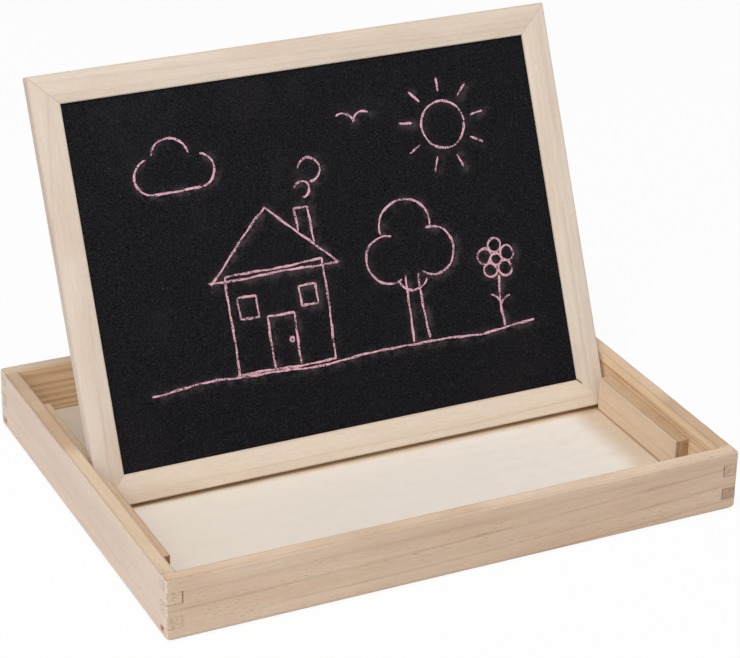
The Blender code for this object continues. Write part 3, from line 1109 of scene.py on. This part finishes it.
@dataclass
class Tray:
    """The storage tray: four finger-jointed walls, the base panel and four rails."""

    body: str = "tray"
    joinery: Joinery = field(default_factory=Joinery)
    # painted shade on the walls' arrises, stronger than on the other pieces
    rim_painted_shade: float = 0.17

    def walls(self) -> list[Wall]:
        """Return the four walls, measured from their solids.

        Returns:
            The front, back, left and right wall.
        """
        j = self.joinery
        front_high, left_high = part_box("front_wall")[1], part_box("left_wall")[1]
        half_length, half_depth = front_high.x, left_high.y
        inner_length, inner_depth = -left_high.x, -front_high.y
        x_axis, y_axis = (1.0, 0.0, 0.0), (0.0, 1.0, 0.0)
        cross = (half_length, inner_length - j.glue_gap, half_depth, inner_depth, j)
        side = (half_depth, inner_depth - j.glue_gap, half_length, inner_length, j)
        return [
            Wall("front_wall", x_axis, (0.0, -1.0, 0.0), Grip.EVEN, *cross, seed=0.6),
            Wall("back_wall", x_axis, (0.0, 1.0, 0.0), Grip.EVEN, *cross, seed=2.9),
            Wall("left_wall", y_axis, (-1.0, 0.0, 0.0), Grip.ODD, *side, seed=4.4),
            Wall("right_wall", y_axis, (1.0, 0.0, 0.0), Grip.ODD, *side, seed=7.7),
        ]

    def wall_wood(self, wall: Wall) -> PlanedWood:
        """Return a wall's finish, whose grain runs along it.

        Args:
            wall: The wall.

        Returns:
            The finish, with what shows at the finger joints.
        """
        j = self.joinery
        joints = FingerJoints(
            band=j.band / MILLIMETRE,
            shoulder=(wall.shoulder + j.glue_gap) / MILLIMETRE,
            odd_fingers=wall.grip is Grip.ODD,
            groove=(j.groove_low / MILLIMETRE, j.groove_high / MILLIMETRE),
            groove_end=(wall.inner + j.groove_depth) / MILLIMETRE,
        )
        through = tuple(abs(share) for share in wall.outward)
        lie = Lie(wall.along, (0.0, 0.0, 1.0), through)
        tone, cut = TRAY_WOODS[wall.node]
        return PlanedWood(wall.node, tone, cut, lie, joints, arris_painted_shade=self.rim_painted_shade)

    def rail_wood(self, node: str) -> PlanedWood:
        """Return a rail's finish, whose grain runs from front to back."""
        low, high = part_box(node)
        lie = Lie((0.0, 1.0, 0.0), (0.0, 0.0, 1.0), (1.0, 0.0, 0.0), tuple((low + high) / 2))
        return PlanedWood(node, *TRAY_WOODS[node], lie)

    def build(self) -> list[bpy.types.Object]:
        """Make and dress the tray's pieces.

        Returns:
            The new pieces.
        """
        made = []
        for wall in self.walls():
            wood = self.wall_wood(wall).make()
            piece = add_mesh(f"{wall.node}_planed", [wall.skin()], wood, wall.along, wall.outward)
            made.append(stand_in(piece, wall.node, self.body))
        for node in ("rail_front_left", "rail_front_right", "rail_back_left", "rail_back_right"):
            wood = self.rail_wood(node)
            piece = add_mesh(f"{node}_planed", [Rail(node).skin()], wood.make(), wood.lie.along)
            made.append(stand_in(piece, node, self.body))
        dress("base_panel", BirchPly().make())
        return made


# Board


@dataclass(frozen=True)
class Stance:
    """Where the leaning board's front face is, and its own directions."""

    middle: np.ndarray
    across: np.ndarray
    up: np.ndarray
    out: np.ndarray

    def point(self, x: np.ndarray, y: np.ndarray, z: np.ndarray) -> np.ndarray:
        """Return places in the frame from places across, up and out of the board."""
        parts = ((x, self.across), (y, self.up), (z, self.out))
        return self.middle + sum(share[..., None] * axis for share, axis in parts)


@dataclass
class Stick:
    """One stick of the board's frame, mitred at both ends and grooved for the panel.

    Edge is its outer edge's distance from the board's middle, half_edge is half that
    edge's length, and side says on which side it lies. An open mitre is 1 at the far end,
    -1 at the near one and 0 where both are shut.
    """

    node: str
    is_stile: bool
    side: int
    edge: float
    half_edge: float
    open_mitre: int = 0
    width: float = 0.016
    thickness: float = 0.006
    arris: float = 0.0007
    corner: float = 0.001
    groove_depth: float = 0.005
    lip: float = 0.00105
    glue_gap: float = 0.00009
    steps: int = 4
    hold: float = 0.0003
    stations: int = 60
    mitre_points: int = 7
    mitre_hold: float = 0.0025
    plain_margin: float = 0.004
    wear: float = 0.00008

    def section(self) -> tuple[np.ndarray, np.ndarray]:
        """Return the stick's eased section.

        Returns:
            Each point's distance in from the edge and height, and whether it is on an arc.
        """
        back, floor = -self.thickness, self.width - self.groove_depth
        corners = np.array([
            (0, 0), (0, back), (self.width, back), (self.width, back + self.lip),
            (floor, back + self.lip), (floor, -self.lip), (self.width, -self.lip), (self.width, 0),
        ])
        ease, lip_ease = self.arris, min(self.arris, self.lip * 0.6)
        radii = (ease, ease, lip_ease, 0, 0, 0, 0, lip_ease)
        return eased_section(corners, radii, self.steps, self.hold)

    def skin(self, stance: Stance) -> Skin:
        """Return the stick's surface: its section carried along it between two mitres.

        A point that lies inset from the outer edge runs to the half edge less its inset,
        which makes the ends 45 degree planes. Where the frame's outer corner is rounded,
        points outside the corner's circle are drawn in to it.

        Args:
            stance: How the board stands.

        Returns:
            The surface, whose arris is 1 on the arcs.
        """
        section, on_arc = self.section()
        inset, height = section[None, :, 0], section[None, :, 1]
        ease = self.glue_gap / 2 * math.sqrt(2)
        close = np.linspace(0, self.corner * 1.5, self.mitre_points)
        from_mitre = np.append(close, self.mitre_hold)
        middle = np.linspace(-1, 1, self.stations)
        reach = self.half_edge - inset - ease
        plain = self.half_edge - self.width - self.plain_margin
        left = -reach + from_mitre[:, None]
        right = reach - from_mitre[::-1, None]
        centre = middle[1:-1, None] * plain * np.ones_like(inset)
        along = np.concatenate([left, centre, right])
        inset, height = inset * np.ones_like(along), height * np.ones_like(along)
        along, inset = self.rounded_corner(along, inset, height)
        worn = self.wear * (1 + ripple(along, self.edge * 97 + self.side)) * on_arc[None]
        height = height - np.sign(height + self.thickness / 2) * worn
        outward = self.side * (self.edge - inset)
        x, y = (outward, along) if self.is_stile else (along, outward)
        return Skin(stance.point(x, y, height), on_arc[None] * np.ones_like(along))

    def rounded_corner(self, along: np.ndarray, inset: np.ndarray,
                       height: np.ndarray) -> tuple[np.ndarray, np.ndarray]:
        """Draw the points outside the corner's circle in to it.

        Args:
            along: Distances along the stick.
            inset: Distances in from its outer edge.
            height: Heights of the points, 0 on the front face.

        Returns:
            The new distances along and in.
        """
        from_face = np.minimum(-height, height + self.thickness)
        lie = quarter_round(self.arris - from_face, self.arris, self.arris)
        centre, radius = self.corner + 2 * lie, self.corner + lie
        to_end = self.half_edge - np.abs(along)
        dx, dy = centre - to_end, centre - inset
        length = np.hypot(dx, dy)
        outside = (dx > 0) & (dy > 0) & (length > radius)
        scale = np.where(outside, radius / np.maximum(length, 1e-9), 1.0)
        new_end = np.where(outside, centre - dx * scale, to_end)
        new_inset = np.where(outside, centre - dy * scale, inset)
        return np.sign(along) * (self.half_edge - new_end), new_inset


def path_lengths(path: np.ndarray) -> np.ndarray:
    """Return how far along a path each of its points lies."""
    steps = np.linalg.norm(np.diff(path, axis=0), axis=1)
    return np.concatenate([[0], np.cumsum(steps)])


@dataclass
class ChalkDrawing:
    """A child's chalk drawing on the black face: a house, the sun, a tree and a flower.

    Its lines are in millimetres from the middle of the panel, like the spacing, the smear,
    the taper, sway and tremor. The face's depth, a line's half width and its relief are in
    metres. Thinnest is a line's width at its ends and faintest the least of a line's dust,
    both as shares.
    """

    stance: Stance
    face: float = -0.0012
    half_width: float = 0.00055
    relief: float = 0.00006
    spacing: float = 0.9
    around: int = 8
    smear: float = 2.6
    smear_shift: tuple[float, float] = (1.2, -1.0)
    smear_spacing: float = 1.5
    sway: float = 0.35
    tremor: float = 0.12
    taper: float = 0.8
    thinnest: float = 0.35
    faintest: float = 0.30
    arc_points: int = 40

    def line(self, *points: tuple[float, float]) -> np.ndarray:
        """Return a polyline through the points."""
        return np.array(points, float)

    def arc(self, x: float, y: float, radius: float, start: float = 0.0,
            end: float = 360.0) -> np.ndarray:
        """Return an arc of a circle, with angles in degrees."""
        angle = np.radians(np.linspace(start, end, self.arc_points))
        return np.stack([x + radius * np.cos(angle), y + radius * np.sin(angle)], axis=-1)

    def strokes(self) -> list[np.ndarray]:
        """Return the drawing's lines.

        Returns:
            One path for each stroke, in the order in which they are drawn.
        """
        house = [
            self.line((-62, -58), (-61, -6), (-5, -5), (-6, -59), (-63, -58)),
            self.line((-70, -9), (-33, 27), (4, -8), (-71, -8)),
            self.line((-41, -58), (-41, -30), (-26, -30), (-26, -58)),
            self.line((-56, -18), (-56, -29), (-46, -29), (-46, -18), (-56, -18)),
            self.line((-21, -17), (-21, -28), (-11, -28), (-11, -17), (-21, -17)),
            self.line((-16, 11), (-16, 24), (-8, 24), (-8, 4)),
            self.arc(-29, -44, 1.3),
        ]
        smoke = [self.arc(-10, 33, 4.5, -90, 160), self.arc(-4, 43, 6, -100, 170)]
        sun = [self.arc(78, 55, 13)]
        for angle in np.radians(np.arange(10, 370, 40)):
            way = np.array((math.cos(angle), math.sin(angle)))
            sun.append(np.array([(78, 55) + way * 18, (78, 55) + way * 26]))
        tree = [
            self.line((40, -58), (42, -22)), self.line((50, -58), (49, -22)),
            self.arc(33, -12, 13, 70, 300), self.arc(46, 4, 15, -8, 190),
            self.arc(60, -11, 13, -130, 100), self.arc(46, -22, 9, 200, 340),
        ]
        flower = [self.arc(97, -22, 3.2), self.line((97, -31), (95, -46), (96, -59)),
                  self.arc(102, -50, 7, 95, 215), self.arc(89, -48, 7, -30, 75)]
        for angle in np.radians(np.arange(0, 360, 72) + 18):
            flower.append(self.arc(97 + 7.2 * math.cos(angle), -22 + 7.2 * math.sin(angle), 4))
        ground = [self.line((-112, -60), (-74, -58), (-20, -61), (34, -59), (80, -61), (114, -59))]
        cloud = [self.arc(-92, 52, 9, 100, 280), self.arc(-80, 60, 11, 10, 165),
                 self.arc(-66, 52, 9, -80, 75), self.line((-93, 43), (-65, 43))]
        birds = [self.arc(20, 62, 7, 20, 120), self.arc(32, 62, 7, 60, 160)]
        return house + smoke + sun + tree + flower + ground + cloud + birds

    def ribbon(self, path: np.ndarray, number: int) -> Skin:
        """Return a stroke: a flat ellipse carried along its path, half sunk in the sheet.

        The path is first cut to even steps and given a slight sway of two sines. Two more
        sines vary the press, and the stroke narrows along the taper at each end.

        Args:
            path: The stroke's line.
            number: Its number, which sets its sway and its press.

        Returns:
            The surface.
        """
        length = path_lengths(path)
        even = np.linspace(0, length[-1], max(4, int(length[-1] / self.spacing)))
        x, y = np.interp(even, length, path[:, 0]), np.interp(even, length, path[:, 1])
        x = x + self.sway * np.sin(even * 0.11 + number * 1.7)
        x = x + self.tremor * np.sin(even * 0.53 + number)
        y = y + self.sway * np.sin(even * 0.13 + number * 2.9)
        y = y + self.tremor * np.sin(even * 0.47 + number * 0.6)
        x, y = x * MILLIMETRE, y * MILLIMETRE
        ahead = np.stack([np.gradient(x), np.gradient(y)], axis=-1)
        ahead /= np.linalg.norm(ahead, axis=1, keepdims=True)
        press = 1 + 0.22 * np.sin(even * 0.31 + number) + 0.15 * np.sin(even * 1.1 + number * 3.1)
        end = np.clip(np.minimum(even, length[-1] - even) / self.taper, self.thinnest, 1)
        width = self.half_width * press * end
        turn = np.linspace(0, 2 * math.pi, self.around, endpoint=False)
        side = width[:, None] * np.cos(turn)
        rise = self.face + self.relief * np.sin(turn) * np.ones_like(side)
        across, up = x[:, None] - ahead[:, 1:] * side, y[:, None] + ahead[:, :1] * side
        return Skin(self.stance.point(across, up, rise))

    def skins(self) -> list[Skin]:
        """Return every stroke's surface."""
        return [self.ribbon(path, number) for number, path in enumerate(self.strokes())]

    def dust(self, x: np.ndarray, y: np.ndarray) -> np.ndarray:
        """Return how much chalk dust lies at each place, from 0 to 1.

        Each stroke leaves its weight times e to the minus squared share of its distance
        in the smear's width, measured from a little below it, and the largest counts.

        Args:
            x: Millimetres across the panel.
            y: Millimetres up it.

        Returns:
            The dust.
        """
        most = np.zeros_like(x)
        for number, path in enumerate(self.strokes()):
            length = path_lengths(path)
            even = np.arange(0, length[-1] + self.smear_spacing, self.smear_spacing)
            smeared = path + np.array(self.smear_shift)
            points = (np.interp(even, length, column) for column in smeared.T)
            beside, beyond = (axis[..., None] - point for axis, point in zip((x, y), points))
            distance = np.hypot(beside, beyond).min(-1)
            weight = self.faintest + (1 - self.faintest) * abs(math.sin(number * 2.1))
            most = np.maximum(most, weight * np.exp(-(distance / self.smear) ** 2))
        return most


@dataclass
class ChalkFace:
    """The black sheet as a fine grid that carries the drawing's dust, in metres."""

    stance: Stance
    drawing: ChalkDrawing
    half_width: float = 0.1382
    half_height: float = 0.1007
    front: float = -0.0012
    back: float = -0.0015
    columns: int = 170
    rows: int = 124

    def skin(self) -> Skin:
        """Return the sheet: rows of points across its front, each closed by two behind.

        Returns:
            The surface, whose own number is the dust.
        """
        x = np.linspace(-self.half_width, self.half_width, self.columns)
        y = np.linspace(-self.half_height, self.half_height, self.rows)
        across = np.concatenate([x, x[[-1, 0]]]) * np.ones((self.rows, 1))
        up = y[:, None] * np.ones_like(across)
        depth = np.full_like(across, self.front)
        depth[:, -2:] = self.back
        dust = self.drawing.dust(across / MILLIMETRE, up / MILLIMETRE)
        dust[:, -2:] = 0
        return Skin(self.stance.point(across, up, depth), dust)


@dataclass
class Board:
    """The framed two-sided board: four mitred sticks round its panel, and V nails.

    The sheet's middle lies sheet_depth behind the frame's face, a nail's back edge moves
    back by nail_step, and an opened mitre goes on for mitre_reach past the inner edge.
    """

    body: str = "board"
    half_height: float = 0.1125
    sheet_depth: float = 0.00135
    nail_step: float = 0.00024
    mitre_reach: float = 0.003

    def stance(self) -> Stance:
        """Return the board's stance, from its joint's axis and the chalk sheet's box.

        Returns:
            The stance.
        """
        up = np.array(frame["joints"][0]["axis"], float)
        up /= np.linalg.norm(up)
        across = np.array((1.0, 0.0, 0.0))
        out = np.cross(across, up)
        low, high = (np.array(corner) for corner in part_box("chalk_sheet"))
        return Stance((low + high) / 2 + out * self.sheet_depth, across, up, out)

    def sticks(self) -> list[Stick]:
        """Return the frame's four sticks.

        Returns:
            The top rail, the bottom rail, the left stile and the right stile.
        """
        width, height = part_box("frame_right_stile")[1].x, self.half_height
        return [
            Stick("frame_top_rail", False, 1, height, width),
            Stick("frame_bottom_rail", False, -1, height, width, open_mitre=1),
            Stick("frame_left_stile", True, -1, width, height),
            Stick("frame_right_stile", True, 1, width, height, open_mitre=-1),
        ]

    def wood(self, stick: Stick, stance: Stance) -> PlanedWood:
        """Return a stick's finish, whose grain runs along it.

        Args:
            stick: The stick.
            stance: How the board stands.

        Returns:
            The finish, with an opened mitre if the stick has one.
        """
        across, up, out = (tuple(axis.tolist()) for axis in (stance.across, stance.up, stance.out))
        lengthwise, crosswise = (up, across) if stick.is_stile else (across, up)
        lie = Lie(lengthwise, crosswise, out, tuple(stance.middle.tolist()))
        start = (stick.edge - stick.half_edge) / MILLIMETRE
        end = (stick.edge - stick.width + self.mitre_reach) / MILLIMETRE
        mitre = OpenMitre(stick.open_mitre, start, end) if stick.open_mitre else None
        return PlanedWood(stick.node, *BOARD_WOODS[stick.node], lie, mitre=mitre)

    def build(self) -> list[bpy.types.Object]:
        """Make and dress the board's pieces.

        Returns:
            The new pieces.
        """
        stance, made = self.stance(), []
        for stick in self.sticks():
            wood, skins = self.wood(stick, stance), [stick.skin(stance)]
            piece = add_mesh(f"{stick.node}_planed", skins, wood.make(), wood.lie.along)
            made.append(stand_in(piece, stick.node, self.body))
        chalk = ChalkDrawing(stance)
        drawing = add_mesh("chalk_drawing", chalk.skins(), ChalkLine().make(), (0, 0, 1))
        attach(drawing, self.body)
        made.append(drawing)
        sheet, coating = [ChalkFace(stance, chalk).skin()], ChalkBlack().make()
        face = add_mesh("chalk_face", sheet, coating, (0, 0, 1), carries="dust")
        made.append(stand_in(face, "chalk_sheet", self.body))
        dress("core_board", Hardboard().make())
        dress("white_sheet", DryWipeWhite().make())
        steel = NailSteel().make()
        for corner in ("top_left", "top_right", "bottom_left", "bottom_right"):
            made.append(self.driven_nail(f"v_nail_{corner}", steel, stance))
        return made

    def driven_nail(self, node: str, steel: bpy.types.Material,
                    stance: Stance) -> bpy.types.Object:
        """Return a nail whose back edge stands a hair proud of the wood, so that it shows.

        Every point in the back half of its height moves back by the same small step.

        Args:
            node: The nail's node.
            steel: Its finish.
            stance: How the board stands.

        Returns:
            The nail.
        """
        mesh = frame["nodes"][node].data.copy()
        merge_doubles(mesh)
        flat = np.zeros(len(mesh.vertices) * 3)
        mesh.vertices.foreach_get("co", flat)
        points = flat.reshape(-1, 3)
        depth = points @ stance.out
        is_back = depth < (depth.min() + depth.max()) / 2
        points[is_back] -= self.nail_step * stance.out
        mesh.vertices.foreach_set("co", points.ravel())
        mesh.materials.clear()
        mesh.materials.append(steel)
        return stand_in(put_in_place(f"{node}_driven", mesh), node, self.body)


def stand_in(piece: bpy.types.Object, node: str, body: str) -> bpy.types.Object:
    """Let a piece ride on a body and stand for a node, whose own part is hidden.

    Args:
        piece: The piece.
        node: The node that it stands for.
        body: The body that it moves with.

    Returns:
        The piece.
    """
    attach(piece, body)
    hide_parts(node)
    return piece


def dress(node: str, material: bpy.types.Material) -> None:
    """Give a node that stays as it is its finish."""
    for place in frame["nodes"][node].material_slots:
        place.material = material


TRAY_WOODS = {
    "front_wall": (
        Tone((222, 194, 162), (217, 194, 170), (224, 206, 190), outside=(213, 189, 166)),
        Cut(pith=(60, -30), lean=(0.01, 0.0), ring=5.5, wander=5.0, contrast=0.12, seed=1.3,
            flecks=0.9, streaks=(
                Streak(19.4, 1.3, 0.42, 1.0, slope=0.026, bend=0.00007),
                Streak(9.2, 1.1, 0.34, 1.0, slope=0.02, bend=0.00013, start=-110, end=200),
                Streak(0.3, 1.1, 0.34, 0.8, slope=0.02, bend=0.00012, start=10, end=200),
                Streak(27.5, 2.2, 0.16, 2.0, slope=0.01),
                Streak(17.0, 34.0, 0.19, 0.0, start=-70, end=400),
                # darkens the rim's top face, and covers its arris with painted shade that dims its
                # highlight
                Streak(34.0, 2.0, 0.34, 0.0, start=-400, end=20),
            )),
    ),
    "back_wall": (
        Tone((238, 204, 166), (207, 184, 160), (225, 208, 193), outside=(218, 196, 172)),
        Cut(pith=(96, 118), lean=(0.004, 0.0), ring=2.9, wander=1.0, contrast=0.05, seed=2.1,
            streaks=(
                Streak(32.9, 0.6, 0.45, 0.2), Streak(29.4, 2.6, 0.62, 0.3),
                Streak(23.6, 1.8, 0.62, 0.3), Streak(19.9, 1.6, 0.72, 0.3),
                Streak(15.9, 1.8, 0.86, 0.3), Streak(12.2, 1.6, 0.66, 0.3),
                Streak(9.2, 1.2, 0.75, 0.3), Streak(6.7, 1.1, 0.75, 0.3),
            )),
    ),
    "left_wall": (
        Tone((224, 199, 170), (208, 185, 159), (208, 184, 161),
             end_low=(205, 180, 157), outside=(229, 210, 194)),
        Cut(pith=(70, -20), lean=(0.004, 0.0), ring=5.0, wander=2.5, contrast=0.1, seed=3.7,
            flecks=0.7, streaks=(
                Streak(11.0, 1.4, 0.16, 3.0, slope=0.004),
                Streak(4.5, 1.2, 0.14, 2.0, slope=-0.004),
                # darkens the rim's top face, and covers its arris with painted shade that dims its
                # highlight
                Streak(34.0, 2.0, 0.52, 0.0, start=10, end=400),
            )),
    ),
    "right_wall": (
        Tone((245, 218, 182), (211, 183, 155), (198, 173, 150),
             end_low=(181, 153, 129), outside=(218, 198, 178)),
        Cut(pith=(-40, 190), lean=(0.0, 0.02), ring=3.6, wander=2.0, contrast=0.4, seed=4.9,
            streaks=(
                Streak(28.8, 0.8, 0.9, 0.2, slope=0.014),
                Streak(27.2, 2.0, 0.35, 0.3, slope=0.004), Streak(25.4, 0.8, 0.9, 0.3),
                Streak(23.0, 0.45, 0.7, 0.6), Streak(20.6, 0.45, 0.6, 0.6),
                # darkens the rim's top face, and covers its arris with painted shade that dims its
                # highlight
                Streak(34.0, 2.0, 0.52, 0.0, start=-400, end=-44),
            )),
    ),
    "rail_front_left": (
        Tone((206, 178, 148), (200, 172, 142), (170, 128, 96)),
        Cut(pith=(-12, 30), ring=3.2, wander=1.2, contrast=0.3, seed=5.2),
    ),
    "rail_front_right": (
        Tone((233, 209, 182), (189, 162, 131), (184, 154, 123)),
        Cut(pith=(-4, -120), ring=4.6, wander=1.2, contrast=0.1, seed=6.4,
            streaks=(
                Streak(7.6, 0.5, 0.3, 0.4), Streak(-1.9, 0.5, 0.42, 0.5),
                Streak(-5.9, 0.5, 0.36, 0.5), Streak(-9.0, 1.2, 0.3, 0.6),
                Streak(10.2, 0.8, 0.75, 0.0, start=-400, end=12),
            )),
    ),
    "rail_back_left": (
        Tone((214, 184, 152), (212, 186, 156), (184, 142, 106)),
        Cut(pith=(20, 24), ring=2.6, wander=1.2, contrast=0.3, seed=7.5),
    ),
    "rail_back_right": (
        Tone((212, 184, 152), (204, 174, 142), (180, 138, 104)),
        Cut(pith=(-26, -20), ring=3.4, wander=1.2, contrast=0.3, seed=8.8),
    ),
}


def stick_tone(face: Colour) -> Tone:
    """Return the tone of one of the frame's sticks, which differ in their faces alone."""
    return Tone(face, top=(208, 186, 168), end=(196, 170, 148))


BOARD_WOODS = {
    "frame_top_rail": (
        stick_tone((213, 198, 182)),
        Cut(pith=(180, 60), lean=(0.004, 0.0), ring=6.0, wander=2.0, contrast=0.07, seed=9.1,
            flecks=0.35, streaks=(
                Streak(104.5, 1.3, 0.2, 1.0, slope=-0.03),
                Streak(100.0, 1.0, 0.14, 1.0, slope=-0.01),
            )),
    ),
    "frame_bottom_rail": (
        stick_tone((222, 206, 188)),
        Cut(pith=(-190, 50), lean=(0.006, 0.0), ring=7.0, wander=2.0, contrast=0.06, seed=10.3,
            flecks=0.35, streaks=(
                # painted shade: darkens and warms the lower arris, where the foot's shadow falls
                Streak(-112.6, 0.9, 1.0, 0.0),
                Streak(-107.6, 0.8, 0.28, 0.8, slope=-0.004, start=-112, end=60),
                Streak(-109.6, 0.8, 0.26, 0.6, slope=0.022, start=40, end=150),
            )),
    ),
    "frame_left_stile": (
        stick_tone((214, 199, 184)),
        Cut(pith=(-210, 40), ring=8.0, wander=1.5, contrast=0.06, seed=11.6, flecks=0.35,
            streaks=(
                Streak(-153.0, 1.3, 0.24, 1.0, slope=0.125, start=20, end=110),
                Streak(-137.6, 1.2, 0.24, 1.0, slope=0.044, start=-100, end=0),
                Streak(-142.0, 30.0, 0.12, 0.0, start=10, end=400),
            )),
    ),
    "frame_right_stile": (
        stick_tone((218, 204, 188)),
        Cut(pith=(230, 30), lean=(0.008, 0.0), ring=4.5, wander=3.0, contrast=0.12, seed=12.4,
            flecks=0.5, streaks=(
                Streak(142.5, 1.2, 0.3, 2.0, slope=0.01, start=-110, end=10),
                Streak(145.0, 1.0, 0.2, 2.0, slope=-0.006, start=30, end=110),
            )),
    ),
}


# Studio


def turned(axes: np.ndarray, place: Triple) -> Matrix:
    """Return the matrix of an object whose own directions are the columns of axes."""
    matrix = np.eye(4)
    matrix[:3, :3], matrix[:3, 3] = axes, place
    return Matrix(matrix.tolist())


@dataclass(frozen=True)
class Camera:
    """The photograph's camera: its place, its turn in degrees, and its focal length.

    Yaw turns the look from +Y towards +X, pitch is downwards, and the focal length is in
    pixels of the picture's width.
    """

    place: Triple = (-0.55475, -1.13713, 0.69946)
    yaw: float = 26.195
    pitch: float = 26.0348
    roll: float = -1.1776
    focal_pixels: float = 2681.93
    picture_width: float = 740.0
    sensor: float = 36.0
    farthest: float = 20.0

    def axes(self) -> np.ndarray:
        """Return the camera's right, up and backward directions.

        Returns:
            The directions as columns.
        """
        yaw, pitch, roll = np.radians((self.yaw, self.pitch, self.roll))
        ahead = np.array((np.sin(yaw), np.cos(yaw), -np.tan(pitch))) * np.cos(pitch)
        level = np.array((np.cos(yaw), -np.sin(yaw), 0.0))
        down = np.cross(ahead, level)
        right = np.cos(roll) * level + np.sin(roll) * down
        down = -np.sin(roll) * level + np.cos(roll) * down
        return np.stack([right, -down, -ahead], axis=1)

    def build(self) -> None:
        """Make the camera and look through it."""
        data = bpy.data.cameras.new("camera")
        data.sensor_fit = "HORIZONTAL"
        data.sensor_width = self.sensor
        data.lens = self.focal_pixels * self.sensor / self.picture_width
        data.clip_end = self.farthest
        viewer = put_in_place("camera", data)
        viewer.matrix_world = turned(self.axes(), self.place)
        bpy.context.scene.camera = viewer


@dataclass(frozen=True)
class Lamp:
    """A square soft box that points at the object."""

    name: str
    place: Triple
    size: float
    watts: float
    aim: Triple = (0.0, 0.0, 0.08)

    def build(self) -> None:
        """Make the lamp, turned so that it shines at the board's middle."""
        data = bpy.data.lights.new(self.name, "AREA")
        data.shape = "SQUARE"
        data.size = self.size
        data.energy = self.watts
        back = np.array(self.place) - np.array(self.aim)
        back /= np.linalg.norm(back)
        side = np.cross((0.0, 0.0, 1.0), back)
        side /= np.linalg.norm(side)
        axes = np.stack([side, np.cross(back, side), back], axis=1)
        put_in_place(self.name, data).matrix_world = turned(axes, self.place)


@dataclass(frozen=True)
class Studio:
    """A pale floor, a white room and soft boxes at a plain level."""

    fill: float = 0.40
    floor_white: float = 0.92
    floor_matt: Colour = (0.80, 0.80, 0.80)
    floor_size: float = 8.0
    lamps: tuple[Lamp, ...] = (
        Lamp("key", (-1.5, -1.5, 1.3), 1.6, 18.0),
        Lamp("high", (-0.35, -0.45, 2.2), 1.1, 30.0),
    )

    def seen(self, recipe: Recipe) -> Term:
        """Return 1 for the rays that see the background, or see it in a gloss."""
        outputs = recipe.place("ShaderNodeLightPath", {}, {}).outputs
        kinds = ("Camera", "Glossy", "Transmission")
        camera, glossy, through = (Term(recipe, outputs[f"Is {kind} Ray"]) for kind in kinds)
        return camera.math("MAXIMUM", glossy).math("MAXIMUM", through)

    def build_world(self) -> None:
        """Make the room: white where it is seen, and a fill light elsewhere."""
        recipe = Recipe("room_nodes")
        world = bpy.data.worlds.new("room")
        world.use_nodes = True
        recipe.tree = world.node_tree
        recipe.tree.nodes.clear()
        strength = self.seen(recipe) * (1.0 - self.fill) + self.fill
        inputs = {"Color": (1.0, 1.0, 1.0, 1.0), "Strength": strength}
        background = recipe.place("ShaderNodeBackground", {}, inputs)
        recipe.place("ShaderNodeOutputWorld", {}, {"Surface": background.outputs[0]})
        bpy.data.materials.remove(recipe.material)
        bpy.context.scene.world = world

    def build_floor(self) -> None:
        """Make the floor: a pale matt surface that is near white where it is seen."""
        recipe = Recipe("floor_paint")
        matt = recipe.place("ShaderNodeBsdfDiffuse", {}, {"Color": padded(self.floor_matt)})
        glow = {"Color": padded((1.0, 1.0, 1.0)), "Strength": 1.0}
        white = recipe.place("ShaderNodeEmission", {}, glow)
        shares = {0: self.seen(recipe) * self.floor_white, 1: matt.outputs[0], 2: white.outputs[0]}
        both = recipe.place("ShaderNodeMixShader", {}, shares)
        recipe.place("ShaderNodeOutputMaterial", {}, {"Surface": both.outputs[0]})
        half = self.floor_size / 2
        mesh = bpy.data.meshes.new("floor")
        corners = [(-half, -half, 0), (half, -half, 0), (half, half, 0), (-half, half, 0)]
        mesh.from_pydata(corners, [], [(0, 1, 2, 3)])
        mesh.materials.append(recipe.material)
        floor = put_in_place("floor", mesh)

    def build(self) -> None:
        """Make the room, the floor and the lamps."""
        self.build_world()
        self.build_floor()
        for lamp in self.lamps:
            lamp.build()
        bpy.context.scene.view_settings.view_transform = "Standard"


def report(pieces: Iterable[bpy.types.Object]) -> None:
    """Log each piece's name and size."""
    for piece in pieces:
        mesh = piece.data
        LOG.info("%s: %d points, %d faces", piece.name, len(mesh.vertices), len(mesh.polygons))


def main() -> None:
    """Build the tray, the board and the studio, in that order."""
    logging.basicConfig(level=logging.INFO, format="%(message)s")
    report(Tray().build())
    report(Board().build())
    Camera().build()
    Studio().build()


if __name__ == "__main__":
    main()
